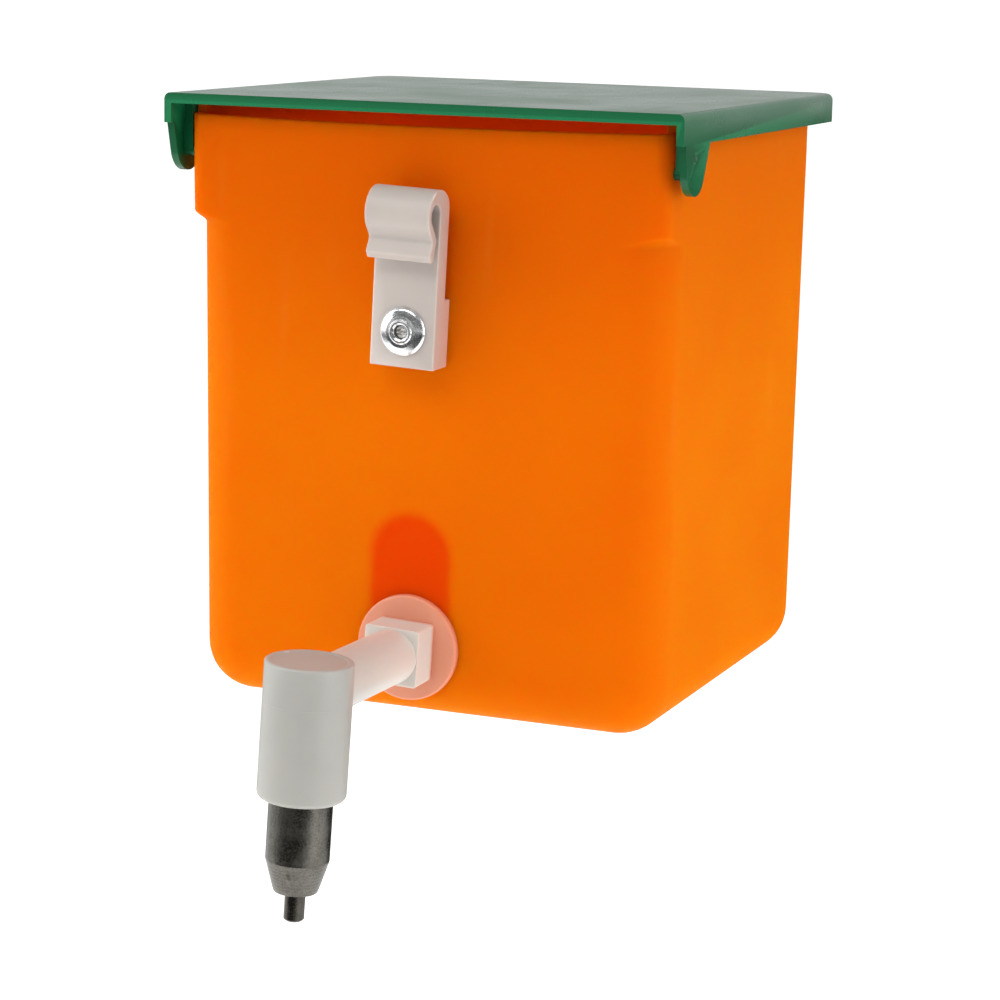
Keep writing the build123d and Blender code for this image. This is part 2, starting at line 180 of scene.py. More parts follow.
print("a softened square has", len(soften([(0, 0, 1), (5, 0, 1), (5, 5, 1), (0, 5, 1)])), "points")

# %% Turn, extrude and skin
AXIS_TOUCH = 1e-6
ROUND = 96                    # steps round a turned piece


def to_mesh(shape):
    """Close a bmesh: weld its doubles, point its faces outwards and hand it over as a mesh."""
    bmesh.ops.remove_doubles(shape, verts=shape.verts, dist=1e-5)
    bmesh.ops.recalc_face_normals(shape, faces=shape.faces)
    mesh = bpy.data.meshes.new("shape")
    shape.to_mesh(mesh)
    shape.free()
    return mesh


def skin(shape, rings, closed_path=False):
    """Faces between rings of vertices that have as many points each; a single point makes a fan."""
    pairs = list(zip(rings, rings[1:]))
    if closed_path:
        pairs.append((rings[-1], rings[0]))
    for lower, upper in pairs:
        count = max(len(lower), len(upper))
        for index in range(count):
            following = (index + 1) % count
            corners = [lower[index % len(lower)], lower[following % len(lower)],
                       upper[following % len(upper)], upper[index % len(upper)]]
            unique = list(dict.fromkeys(corners))
            if len(unique) > 2:
                shape.faces.new(unique)


def turn(outline, steps=ROUND, ring=True):
    """Spin (radius, height) points about Z. A ring's outline is closed; a solid's starts and ends on Z."""
    shape = bmesh.new()
    rings = []
    for radius, height in outline:
        if radius < AXIS_TOUCH:
            rings.append([shape.verts.new((0, 0, height))])
            continue
        angles = [2 * math.pi * step / steps for step in range(steps)]
        rings.append([shape.verts.new((radius * math.cos(a), radius * math.sin(a), height)) for a in angles])
    skin(shape, rings, closed_path=ring)
    return to_mesh(shape)


def extrude(outline, low, high):
    """Push an outline in the XY plane through Z, from low to high."""
    shape = bmesh.new()
    floor = [shape.verts.new((a, b, low)) for a, b in outline]
    roof = [shape.verts.new((a, b, high)) for a, b in outline]
    skin(shape, [floor, roof])
    shape.faces.new(floor)
    shape.faces.new(roof)
    return to_mesh(shape)


OUT_OF_WALL = Matrix.Rotation(math.radians(90), 4, "X")      # Z of a turned piece points out of the wall
ALONG_X = Matrix.Rotation(math.radians(90), 4, "Y")


def moved(mesh, place):
    """The same mesh, moved and turned."""
    mesh.transform(place)
    return mesh


def rod(radius, low, high, steps=ROUND):
    """Plain round tool for joining and cutting."""
    return turn([(0, low), (radius, low), (radius, high), (0, high)], steps, ring=False)


print("a rod of 96 steps has", len(rod(1, 0, 1).polygons), "faces")

# %% Carve: join and cut closed solids
def evaluated(thing):
    """A plain mesh of an object as its modifiers leave it."""
    bpy.context.view_layer.update()
    result = bpy.data.meshes.new_from_object(thing.evaluated_get(bpy.context.evaluated_depsgraph_get()))
    return result


def temporary(mesh):
    """An object that holds a mesh while modifiers work on it."""
    thing = bpy.data.objects.new("blank", mesh)
    bpy.context.scene.collection.objects.link(thing)
    return thing


def carve(mesh, join=(), cut=(), keep=()):
    """Join solids to a mesh, cut others out of it, and keep only what lies in the last ones."""
    block = temporary(mesh)
    tools = []
    for operation, shapes in (("UNION", join), ("DIFFERENCE", cut), ("INTERSECT", keep)):
        for shape in shapes:
            tool = temporary(shape)
            tools.append(tool)
            step = block.modifiers.new("carve", "BOOLEAN")
            step.operation = operation
            step.solver = "EXACT"
            step.object = tool
    result = evaluated(block)
    for thing in [block] + tools:
        bpy.data.objects.remove(thing)
    return result


def open_edges(mesh):
    """How many edges don't have exactly two faces: none on a closed solid."""
    shape = bmesh.new()
    shape.from_mesh(mesh)
    count = sum(len(edge.link_faces) != 2 for edge in shape.edges)
    shape.free()
    return count


print("a drilled block has", open_edges(carve(rod(2, 0, 2), cut=[rod(1, -1, 3)])), "open edges")

# %% Hand a piece to the frame
def add_piece(name, mesh, body, nodes, finish, place, edge=0.0, steps=2, angle=40.0):
    """Place a mesh in the frame, shade it, and let it stand for its nodes on its body.
    With an edge, a live bevel of that width in mm breaks corners sharper than the angle."""
    mesh.transform(place)
    mesh.name = name
    mesh.materials.clear()
    mesh.materials.append(finish)
    mesh.shade_smooth()
    mesh.set_sharp_from_angle(angle=math.radians(angle))
    piece = bpy.data.objects.new(name, mesh)
    bpy.context.scene.collection.objects.link(piece)
    if edge:
        broken = piece.modifiers.new("broken edges", "BEVEL")
        broken.width = edge * MM
        broken.segments = steps
        broken.limit_method = "ANGLE"
        broken.angle_limit = math.radians(angle)
        broken.harden_normals = True
    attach(piece, body)
    if nodes:
        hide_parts(*nodes)
    print(f"{name}: {len(mesh.polygons)} faces on {body}, {open_edges(mesh)} open edges")
    return piece


# %% [markdown]
# ## Finishes
# Every finish is a Principled shader with its detail from noise in Object coordinates, so that the
# pattern stays on the piece when it moves. Three things make plastic and metal believable: colour
# that isn't quite even, roughness that changes from place to place, and a fine bump. The helpers
# below keep each finish to a few lines.

# %% Helpers for finishes
def add_node(tree, kind, outputs=0, **inputs):
    """A shader node with its inputs set or linked by name; returns its chosen output."""
    made = tree.nodes.new(kind)
    for name, value in inputs.items():
        socket = made.inputs[name.replace("_", " ")]
        if isinstance(value, bpy.types.NodeSocket):
            tree.links.new(value, socket)
        else:
            socket.default_value = value
    return made.outputs[outputs]


def grain(tree, place, scale, detail=3.0, stretch=(1, 1, 1)):
    """Noise of a scale per metre, stretched along an axis where that axis is under 1."""
    fitted = add_node(tree, "ShaderNodeMapping", Vector=place, Scale=stretch)
    return add_node(tree, "ShaderNodeTexNoise", Vector=fitted, Scale=scale, Detail=detail)


def spread(tree, value, low, high, start=0.0, end=1.0, soft=False):
    """Turn a value between low and high into one between start and end."""
    made = tree.nodes.new("ShaderNodeMapRange")
    made.interpolation_type = "SMOOTHSTEP" if soft else "LINEAR"
    tree.links.new(value, made.inputs["Value"])
    for name, amount in (("From Min", low), ("From Max", high), ("To Min", start), ("To Max", end)):
        made.inputs[name].default_value = amount
    return made.outputs["Result"]


def sums(tree, operation, *values):
    """One arithmetic step on sockets or numbers."""
    made = tree.nodes.new("ShaderNodeMath")
    made.operation = operation
    for index, value in enumerate(values):
        if isinstance(value, bpy.types.NodeSocket):
            tree.links.new(value, made.inputs[index])
        else:
            made.inputs[index].default_value = value
    return made.outputs[0]


def blend_colours(tree, share, first, second):
    """Colour between two others, each a socket or a (red, green, blue)."""
    made = tree.nodes.new("ShaderNodeMix")
    made.data_type = "RGBA"
    tree.links.new(share, made.inputs["Factor"])
    for socket, colour in ((made.inputs[6], first), (made.inputs[7], second)):
        if isinstance(colour, bpy.types.NodeSocket):
            tree.links.new(colour, socket)
        else:
            socket.default_value = (*colour, 1)
    return made.outputs[2]


def relief(tree, heights):
    """Bump from several (height, strength, depth in mm) layers, one over the other."""
    normal = None
    for height, strength, depth in heights:
        made = tree.nodes.new("ShaderNodeBump")
        made.inputs["Strength"].default_value = strength
        made.inputs["Distance"].default_value = depth * MM
        tree.links.new(height, made.inputs["Height"])
        if normal:
            tree.links.new(normal, made.inputs["Normal"])
        normal = made.outputs["Normal"]
    return normal


def start_finish(name, **sockets):
    """A material with its Principled shader's fixed sockets set; returns its working parts."""
    material = bpy.data.materials.new(name)
    material.use_nodes = True
    tree = material.node_tree
    shader = tree.nodes["Principled BSDF"]
    for socket, value in sockets.items():
        shader.inputs[socket.replace("_", " ")].default_value = value
    place = tree.nodes.new("ShaderNodeTexCoord").outputs["Object"]
    return material, tree, shader, place


def connect(tree, shader, colour, roughness, normal):
    """Plug the three patterned sockets of a finish."""
    tree.links.new(colour, shader.inputs["Base Color"])
    tree.links.new(roughness, shader.inputs["Roughness"])
    tree.links.new(normal, shader.inputs["Normal"])


def worn_edges(tree, low=0.53, high=0.60):
    """Share of wear, from how far a surface sticks out like an edge."""
    bulge = tree.nodes.new("ShaderNodeNewGeometry").outputs["Pointiness"]
    return spread(tree, bulge, low, high)


print("shader helpers ready")

# %% [markdown]
# ## Tank plastic
# The tank is polypropylene with an orange dye. Light enters the wall, scatters and comes out a few
# millimetres away, so the plastic glows and its thin corners look yellow. Subsurface scattering does
# that, and a translucent share lets light right through the wall. On top come two painted shades: a
# deeper orange under the lid, where less light gets in, and a deep red arch above the outlet, the
# painted shadow of the nut and fittings that stand close behind the wall.

# %% The tank's orange
outlet_spot = outlet_plane.translation
# Size of the painted shadow of the nut, an arch above the outlet.
arch_half_width = 8.6
arch_top = 41.5               # above the underside
arch_blur = 1.6
see_through = 0.34            # share of light that passes straight through the wall
amber = (0.95, 0.34, 0.008, 1)


def tank_finish():
    material, tree, shader, place = start_finish(
        "orange tank plastic", Subsurface_Weight=0.9, Subsurface_Radius=(1.0, 0.30, 0.04),
        Subsurface_Scale=5.0 * MM, IOR=1.2, Specular_IOR_Level=0.06)
    axes = tree.nodes.new("ShaderNodeSeparateXYZ")
    tree.links.new(place, axes.inputs[0])
    x, y, z = axes.outputs
    underside = tank_low.z * MM
    front = tank_low.y * MM

    mottled = grain(tree, place, 22, 4)
    flecked = grain(tree, place, 900, 2)
    base = blend_colours(tree, spread(tree, mottled, 0.3, 0.7), (0.88, 0.180, 0.0008), (0.94, 0.218, 0.001))
    # Painted shade: the orange darkens towards the rim, where the lid keeps light out.
    painted_lid_shade = spread(tree, z, underside + 55 * MM, underside + 119 * MM, soft=True)
    base = blend_colours(tree, painted_lid_shade, base, (0.76, 0.140, 0.0006))

    # The painted shadow of the nut and fittings inside, an arch: distance from an upright line that starts at the
    # outlet.
    arch_middle = underside + (arch_top - arch_half_width) * MM
    sideways = sums(tree, "SUBTRACT", x, outlet_spot.x)
    held = sums(tree, "MINIMUM", sums(tree, "MAXIMUM", z, outlet_spot.z), arch_middle)
    upways = sums(tree, "SUBTRACT", z, held)
    squares = [sums(tree, "POWER", length, 2.0) for length in (sideways, upways)]
    apart = sums(tree, "SQRT", sums(tree, "ADD", *squares))
    arch_edge = ((arch_half_width - arch_blur) * MM, (arch_half_width + arch_blur) * MM)
    inside = spread(tree, apart, *arch_edge, 1.0, 0.0, True)
    on_front = spread(tree, y, front + 1.2 * MM, front + 1.9 * MM, 1.0, 0.0)
    painted_nut_shadow = sums(tree, "MULTIPLY", inside, on_front)
    # Painted shadow: the arch darkens the orange to a deep red.
    base = blend_colours(tree, sums(tree, "MULTIPLY", painted_nut_shadow, 0.85), base, (0.86, 0.052, 0.0004))

    scuffs = grain(tree, place, 160, 5, (1, 1, 0.12))
    colour = blend_colours(tree, spread(tree, scuffs, 0.62, 0.8, 0.0, 0.12), base, (0.9, 0.38, 0.06))
    uneven = spread(tree, mottled, 0.3, 0.7, 0.36, 0.44)
    roughness = sums(tree, "ADD", uneven, spread(tree, scuffs, 0.5, 0.8, 0.0, 0.1))
    normal = relief(tree, [(mottled, 0.25, 0.6), (flecked, 0.12, 0.05), (scuffs, 0.05, 0.1)])
    connect(tree, shader, colour, roughness, normal)

    # Light that goes right through the thin wall makes the inside glow under the lid.
    through = add_node(tree, "ShaderNodeBsdfTranslucent", Color=amber)
    both = tree.nodes.new("ShaderNodeMixShader")
    both.inputs[0].default_value = see_through
    tree.links.new(shader.outputs[0], both.inputs[1])
    tree.links.new(through, both.inputs[2])
    tree.links.new(both.outputs[0], tree.nodes["Material Output"].inputs["Surface"])
    return material


orange = tank_finish()
print("finish:", orange.name)

# %% [markdown]
# ## Lid, clip and elbow plastic
# The lid is dyed right through and hardly lets light in, so it is glossy with a faint moulded grain.
# The clip and the elbow are natural nylon: milky and slightly waxy. The orange tank shines into them
# where they stand close to it, and that light is painted into their colour as a glow that fades with
# height out of the wall.

# %% The lid's green and the two nylons
def plastic_finish(name, low_colour, high_colour, roughness, milky=0.0, relief_share=1.0,
                   worn=(0.5, 0.5, 0.5), ior=1.45, painted_glows=()):
    """Moulded plastic. Each glow (start, end, amount, colour) is painted light: it fades out between two
    heights in mm out of the tank's wall and stands in for light from the tank shining into a milky piece."""
    material, tree, shader, place = start_finish(
        name, Subsurface_Weight=milky, Subsurface_Radius=(1.0, 0.75, 0.6), Subsurface_Scale=1.6 * MM,
        IOR=ior, Specular_IOR_Level=0.5)
    mottled = grain(tree, place, 45, 4)
    fine = grain(tree, place, 1500, 2)
    scratched = grain(tree, place, 260, 4, (1, 0.1, 1))
    colour = blend_colours(tree, spread(tree, mottled, 0.3, 0.7), low_colour, high_colour)
    colour = blend_colours(tree, worn_edges(tree), colour, worn)
    axes = tree.nodes.new("ShaderNodeSeparateXYZ")
    tree.links.new(place, axes.inputs[0])
    wall = tank_low.y * MM
    # Painted light: each glow tints the colour near the tank's wall.
    for start, end, amount, painted_glow_colour in painted_glows:
        painted_glow_share = spread(tree, axes.outputs["Y"], wall - end * MM, wall - start * MM, 0.0, amount, True)
        colour = blend_colours(tree, painted_glow_share, colour, painted_glow_colour)
    uneven = spread(tree, mottled, 0.3, 0.7, roughness - 0.04, roughness + 0.05)
    rough = sums(tree, "ADD", uneven, spread(tree, scratched, 0.6, 0.8, 0.0, 0.08))
    normal = relief(tree, [(mottled, 0.12 * relief_share, 0.4), (fine, 0.18 * relief_share, 0.03),
                           (scratched, 0.05 * relief_share, 0.05)])
    connect(tree, shader, colour, rough, normal)
    return material


# Painted light from the orange tank, used by the glows below.
painted_tank_glow = (0.68, 0.18, 0.06)
green = plastic_finish("green lid plastic", (0.0009, 0.067, 0.022), (0.0011, 0.075, 0.025), 0.27,
                       relief_share=0.3, worn=(0.006, 0.15, 0.055), ior=1.36)
clip_nylon = plastic_finish("milky clip nylon", (0.41, 0.365, 0.335), (0.47, 0.42, 0.385), 0.42, 0.55,
                            worn=(0.56, 0.51, 0.47), painted_glows=[(0.5, 7.0, 0.35, painted_tank_glow)])
# The elbow's glows are painted light: a warm pale one near the wall over collar and arm, and the tank's orange on
# the flange.
elbow_nylon = plastic_finish("milky elbow nylon", (0.34, 0.335, 0.31), (0.39, 0.385, 0.355), 0.40, 0.5,
                             worn=(0.50, 0.49, 0.455),
                             painted_glows=[(6.0, 38.0, 0.75, (0.64, 0.59, 0.54)), (0.9, 2.6, 0.80, painted_tank_glow)])
nut_nylon = plastic_finish("white nut nylon", (0.66, 0.65, 0.61), (0.74, 0.73, 0.69), 0.45, 0.3,
                           worn=(0.82, 0.81, 0.78))
cup_plastic = plastic_finish("pale follower plastic", (0.55, 0.54, 0.50), (0.62, 0.61, 0.57), 0.45, 0.2,
                             worn=(0.7, 0.7, 0.66))
print("finishes:", green.name, clip_nylon.name, elbow_nylon.name)

# %% [markdown]
# ## Metals and rubber
# A turned nickel body shows rings where the tool has passed and a fine grain from plating. The rings
# are noise that is squeezed along the turning axis, so that it changes with height and not round the
# piece. The blind rivet is bright aluminium, drawn rather than turned. Rubber is dark and matt with
# a dusty bloom.

# %% Metal and rubber finishes
def metal_finish(name, colour, dull, roughness, plane, ring_strength, grain_strength):
    """Metal with rings about the Z axis of its drawing plane and a fine grain."""
    material, tree, shader, place = start_finish(name, Metallic=1.0)
    turning = plane.to_3x3().normalized().transposed().to_euler()
    lined_up = add_node(tree, "ShaderNodeMapping", Vector=place, Rotation=turning)
    rings = grain(tree, lined_up, 2600, 3, (0.02, 0.02, 1))
    speckle = grain(tree, place, 2800, 2)
    cloud = grain(tree, place, 240, 3)
    shade = spread(tree, sums(tree, "MULTIPLY", cloud, speckle), 0.16, 0.36)
    tone = blend_colours(tree, shade, dull, colour)
    rough = sums(tree, "ADD", spread(tree, cloud, 0.3, 0.7, roughness - 0.05, roughness + 0.06),
                 spread(tree, speckle, 0.45, 0.75, 0.0, 0.08))
    normal = relief(tree, [(rings, ring_strength, 0.02), (speckle, grain_strength, 0.02)])
    connect(tree, shader, tone, rough, normal)
    return material


along_wall = clip_plane @ OUT_OF_WALL
nickel = metal_finish("turned nickel", (0.155, 0.149, 0.131), (0.095, 0.091, 0.078), 0.27,
                      barrel_plane, 0.25, 0.40)
pin_steel = metal_finish("bright pin steel", (0.085, 0.079, 0.068), (0.055, 0.051, 0.044), 0.24,
                         barrel_plane, 0.3, 0.3)
aluminium = metal_finish("drawn aluminium", (0.86, 0.87, 0.88), (0.72, 0.73, 0.74), 0.19,
                         along_wall, 0.15, 0.15)
stem_steel = metal_finish("broken stem steel", (0.50, 0.48, 0.45), (0.30, 0.29, 0.27), 0.36,
                          along_wall, 0.2, 0.6)
washer_steel = metal_finish("zinc-plated washer", (0.66, 0.67, 0.66), (0.52, 0.53, 0.52), 0.33,
                            along_wall, 0.2, 0.3)
spring_steel = metal_finish("spring wire", (0.55, 0.54, 0.52), (0.42, 0.41, 0.39), 0.28,
                            barrel_plane, 0.1, 0.2)
rubber = plastic_finish("black rubber", (0.012, 0.012, 0.013), (0.022, 0.022, 0.023), 0.62,
                        worn=(0.05, 0.05, 0.05))
print("metals:", nickel.name, aluminium.name, pin_steel.name)

# %% [markdown]
# ## The tank
# The tank is an injection-moulded box: slightly wider at the rim so that it leaves its mould, round
# at the corners and round where the walls meet the floor. Below the rim its two front corners turn
# nearly square, which gives the lid's ears a flat place to swing on. It could be carved from a
# block, but rings of points suit it better: each ring is one level slice, outside going up, over the
# rounded rim, and back down inside. The wall keeps its thickness everywhere, and the rim dips at
# the front because each point of a ring has its own rim height.

# %% Sizes of the tank
tank_wall = 2.0
rim_depth = 97.3
base_width = 99.6
base_depth = 97.0
base_corner = 10.4            # corner radius at the underside
body_corner = 9.6             # and at the top of the round-cornered body
band_corner = 3.0             # front corners near the rim
floor_edge = 10.0             # radius between walls and underside
band_low = tank_height - 21.0
ramp_low = band_low - 2.6
front_rim = tank_height - 1.9
front_sag = 0.6
rim_round = 0.45
foot_width = 1.6              # the underside stands on a shallow foot ring
foot_depth = 0.5
lid_front = lid_low.y - tank_low.y
lid_top = lid_high.z - tank_low.z
hinge = Vector(joints["lid_hinge"]["pos_m"]) / MM - Vector((centre_x, tank_low.y, tank_low.z))
print("hinge line, mm above the underside:", round(hinge.z, 2), "behind the front wall:", round(hinge.y, 2))


# %% One level slice
corner_steps = 10
side_length = rim_depth - band_corner - body_corner
rim_step = 0.12               # the rim steps up over twice this, at the hinge line
side_shares = [(hinge.y + step - band_corner) / side_length for step in (-rim_step, rim_step)]
side_shares += [step / 12 for step in range(1, 12)]
wall_shares = [step / 16 for step in range(1, 16)]


def slice_points(height, inset, front_corner, back_corner):
    """Level slice as (x, y) points, anticlockwise from the left end of the front wall."""
    share = height / tank_height
    half = (base_width + (rim_width - base_width) * share) / 2 - inset
    front = base_setback * (1 - share) + inset
    back = base_setback * (1 - share) + base_depth + (rim_depth - base_depth) * share - inset
    near = max(front_corner - inset, 0.4)
    far = max(back_corner - inset, 0.4)

    def straight(start, end, shares):
        return [Vector(start).lerp(Vector(end), part) for part in shares]

    turned_shares = [1 - part for part in reversed(side_shares)]
    points = straight((near - half, front), (half - near, front), wall_shares)
    points += arc((half - near, front + near), near, near, -90, 0, corner_steps)
    points += straight((half, front + near), (half, back - far), side_shares)
    points += arc((half - far, back - far), far, far, 0, 90, corner_steps)
    points += straight((half - far, back), (far - half, back), wall_shares)
    points += arc((far - half, back - far), far, far, 90, 180, corner_steps)
    points += straight((-half, back - far), (-half, front + near), turned_shares)
    points += arc((near - half, front + near), near, near, 180, 270, corner_steps)
    return points


rim_slice = slice_points(tank_height, 0, band_corner, body_corner)
print("points in a slice:", len(rim_slice))


# %% Height of the rim at each point
def rim_height(point):
    """The front rim lies lower, sags a little and steps up to the sides at the hinge line."""
    if point.y > hinge.y:
        return tank_height
    return front_rim - front_sag * max(0.0, 1 - (2 * point.x / rim_width) ** 2)


rim_heights = [rim_height(point) for point in rim_slice]


# %% Rings of the tank, from the underside up and over the rim
def smooth(share):
    return share * share * (3 - 2 * share)


def corner_at(height):
    """Front and back corner radius at a height."""
    if height <= ramp_low:
        radius = base_corner + (body_corner - base_corner) * height / ramp_low
        return radius, radius
    share = smooth(min(1.0, (height - ramp_low) / (band_low - ramp_low)))
    return body_corner + (band_corner - body_corner) * share, body_corner


def tank_rings(shape, inset, floor):
    """Rings of one skin, from its rounded floor edge up to just below the rim."""
    edge = floor_edge - inset
    rings = []
    for step in range(11):
        angle = math.radians(9 * step)
        height = floor + edge * (1 - math.cos(angle))
        level_inset = inset + edge * (1 - math.sin(angle))
        rings.append((height, level_inset))
    body_steps = 8
    straight = ramp_low - floor - edge
    rings += [(floor + edge + straight * step / body_steps, inset) for step in range(1, body_steps + 1)]
    rings += [(ramp_low + (band_low - ramp_low) * step / 6, inset) for step in range(1, 7)]
    made = []
    for height, level_inset in rings:
        near, far = corner_at(height)
        points = slice_points(height, level_inset, near, far)
        made.append([shape.verts.new((*point, height)) for point in points])
    return made


def rim_ring(shape, inset, below):
    """A ring that follows the rim, so far in from the outside and so far below the rim's top."""
    points = slice_points(tank_height, inset, band_corner, body_corner)
    return [shape.verts.new((*point, top - below)) for point, top in zip(points, rim_heights)]


def tank_mesh():
    shape = bmesh.new()
    outside = tank_rings(shape, 0.0, 0.0)
    inside = tank_rings(shape, tank_wall, tank_wall)
    rim = [rim_ring(shape, 0.0, 12.0), rim_ring(shape, 0.0, 4.0)]
    for step in range(5):
        angle = math.radians(22.5 * step)
        rim.append(rim_ring(shape, rim_round * (1 - math.cos(angle)), rim_round * (1 - math.sin(angle))))
    for step in range(5):
        angle = math.radians(90 - 22.5 * step)
        inset = tank_wall - rim_round * (1 - math.cos(angle))
        rim.append(rim_ring(shape, inset, rim_round * (1 - math.sin(angle))))
    rim += [rim_ring(shape, tank_wall, 4.0), rim_ring(shape, tank_wall, 12.0)]
    foot = []
    for reach, height in ((foot_width, 0.0), (foot_width + foot_depth, foot_depth)):
        points = slice_points(0, floor_edge + reach, base_corner + reach, base_corner + reach)
        foot.append([shape.verts.new((*point, height)) for point in points])
    skin(shape, [foot[1], foot[0]] + outside + rim + inside[::-1])
    shape.faces.new(foot[1])
    shape.faces.new(inside[0])
    return to_mesh(shape)


tank_shell = tank_mesh()
print("tank shell:", len(tank_shell.polygons), "faces,", open_edges(tank_shell), "open edges")

# %% [markdown]
# ### Holes and the moulding's gate
# The rivet, the outlet and the lid's two pivot pins each need a hole. A round tool in the drawing
# plane of the piece that goes through makes each one, so hole and piece are always in line. A small
# nub under the floor shows where the plastic was injected.

# %% Drill the tank
rivet_hole = 2.5
outlet_hole = 4.9
hinge_hole = 1.28
gate_radius = 2.2
to_tank = tank_plane.inverted()
drills = [moved(rod(rivet_hole, -4, 4), to_tank @ clip_plane @ OUT_OF_WALL),
          moved(rod(outlet_hole, -4, 4), to_tank @ outlet_plane @ OUT_OF_WALL),
          moved(rod(hinge_hole, -60, 60, 48), Matrix.Translation(hinge) @ ALONG_X)]
gate_low = 0.08               # the nub ends just above the foot ring's level
gate_high = 1.2
gate_outline = soften([(0, gate_low, 0), (gate_radius, gate_low, 0.15), (gate_radius + 0.2, gate_high, 0),
                       (0, gate_high, 0)], closed=False)
gate = moved(turn(gate_outline, 48, ring=False), Matrix.Translation((0, rim_depth / 2, 0)))
tank_shell = carve(tank_shell, join=[gate], cut=drills)
add_piece("moulded_tank", tank_shell, "tank_set", ["tank"], orange, tank_plane)

# %% [markdown]
# ## The lid
# The lid is one moulding: a plate, a skirt on three sides and two ears that hang down beside the
# tank. It is drawn as a closed solid of flat faces first, like folded card, because its flat sides
# and its ears then stay exactly flat. The rounding comes afterwards from bevels: wide along the top
# of the skirt, narrow along the front.

# %% Sizes of the lid
lid_half = (lid_high.x - lid_low.x) / 2
lid_back = lid_high.y - tank_low.y
lid_plate = 2.1
lid_wall = 1.5
skirt_low = lid_top - 5.9
plate_low = lid_top - lid_plate
back_corner = 5.6
ear_front = lid_front + 1.2   # where the ear leaves the skirt, in front and behind
ear_back = lid_front + 15.5
ear_tip = (lid_front + 7.6, lid_top - 10.5)
ear_tip_radius = 5.1
top_round = 1.3
front_round = 0.4


def tangent_angle(point, side):
    """Direction from the tip's middle to where a line from the point touches the tip's circle."""
    away = Vector(point) - Vector(ear_tip)
    opening = math.acos(ear_tip_radius / away.length)
    return math.degrees(math.atan2(away.y, away.x) + side * opening)


ear_start = tangent_angle((ear_front, skirt_low), 1)
ear_end = tangent_angle((ear_back, skirt_low), -1)
ear_line = [Vector((ear_front, skirt_low))]
ear_line += arc(ear_tip, ear_tip_radius, ear_tip_radius, ear_start % 360, ear_end % 360, 18)
ear_line += [Vector((ear_back, skirt_low))]
print("ear outline:", len(ear_line), "points, tip radius", ear_tip_radius, "mm")


# %% The lid as a closed solid of flat faces
def lid_mesh():
    shape = bmesh.new()

    def plan(inset):
        half = lid_half - inset
        back = lid_back - inset
        radius = back_corner - inset
        points = [Vector((-half, lid_front))]
        points += arc((radius - half, back - radius), radius, radius, 180, 90, 8)
        points += arc((half - radius, back - radius), radius, radius, 90, 0, 8)
        return points + [Vector((half, lid_front))]

    def row(points, height):
        return [shape.verts.new((*point, height)) for point in points]

    outer_top, outer_low = row(plan(0), lid_top), row(plan(0), skirt_low)
    inner_top, inner_low = row(plan(lid_wall), plate_low), row(plan(lid_wall), skirt_low)
    last = len(outer_top) - 1

    def ear(x):
        return [shape.verts.new((x, point.x, point.y)) for point in ear_line]

    sides = ((0, 1, ear(-lid_half), ear(lid_wall - lid_half)),
             (last, last - 1, ear(lid_half), ear(lid_half - lid_wall)))
    for front, behind, outer_ear, inner_ear in sides:
        outer_edge = [outer_low[front]] + outer_ear + [outer_low[behind]]
        inner_edge = [inner_low[front]] + inner_ear + [inner_low[behind]]
        shape.faces.new([outer_top[front]] + outer_edge + [outer_top[behind]])
        shape.faces.new([inner_top[front]] + inner_edge + [inner_top[behind]])
        for corners in zip(outer_edge, outer_edge[1:], inner_edge[1:], inner_edge):
            shape.faces.new(corners)
    for index in range(1, last - 1):
        for upper, lower in ((outer_top, outer_low), (inner_top, inner_low), (outer_low, inner_low)):
            shape.faces.new([upper[index], upper[index + 1], lower[index + 1], lower[index]])
    shape.faces.new(outer_top)
    shape.faces.new(inner_top)
    shape.faces.new([outer_top[0], outer_top[last], outer_low[last], inner_low[last], inner_top[last],
                     inner_top[0], inner_low[0], outer_low[0]])
    bmesh.ops.recalc_face_normals(shape, faces=shape.faces)
    top_edges = [edge for edge in shape.edges if all(abs(v.co.z - lid_top) < 0.01 for v in edge.verts)]
    front_edges = [edge for edge in top_edges if all(abs(v.co.y - lid_front) < 0.01 for v in edge.verts)]
    side_edges = [edge for edge in top_edges if edge not in front_edges]
    bmesh.ops.bevel(shape, geom=side_edges, offset=top_round, segments=5, profile=0.5, affect="EDGES")
    front_edges = [edge for edge in shape.edges if all(abs(v.co.z - lid_top) < 0.01 and
                   abs(v.co.y - lid_front) < 0.01 for v in edge.verts)]
    bmesh.ops.bevel(shape, geom=front_edges, offset=front_round, segments=3, profile=0.5, affect="EDGES")
    return to_mesh(shape)


lid_shell = lid_mesh()
print("lid shell:", len(lid_shell.polygons), "faces,", open_edges(lid_shell), "open edges")

# %% [markdown]
# ### Ribs, pivot pins and dimples
# A rib inside each ear keeps it stiff, and a round pin at its foot goes through the tank's wall: that
# is the hinge. A small dimple outside each ear is the mark of an ejector pin of the mould.

# %% Join ribs and pins, sink the dimples
rib_width = 2.8
rib_inner = rim_width / 2 + 0.35
pin_radius = 1.2
pin_inner = rim_width / 2 - tank_wall - 0.2
dimple_ball = 1.46
dimple_out = 0.96             # the ball's middle stands this far outside the ear
dimple_spot = (lid_front + 7.0, lid_top - 8.4)


def ball_mesh(radius):
    return turn([(0, -radius)] + arc((0, 0), radius, radius, -80, 80, 14) + [(0, radius)], 48, ring=False)


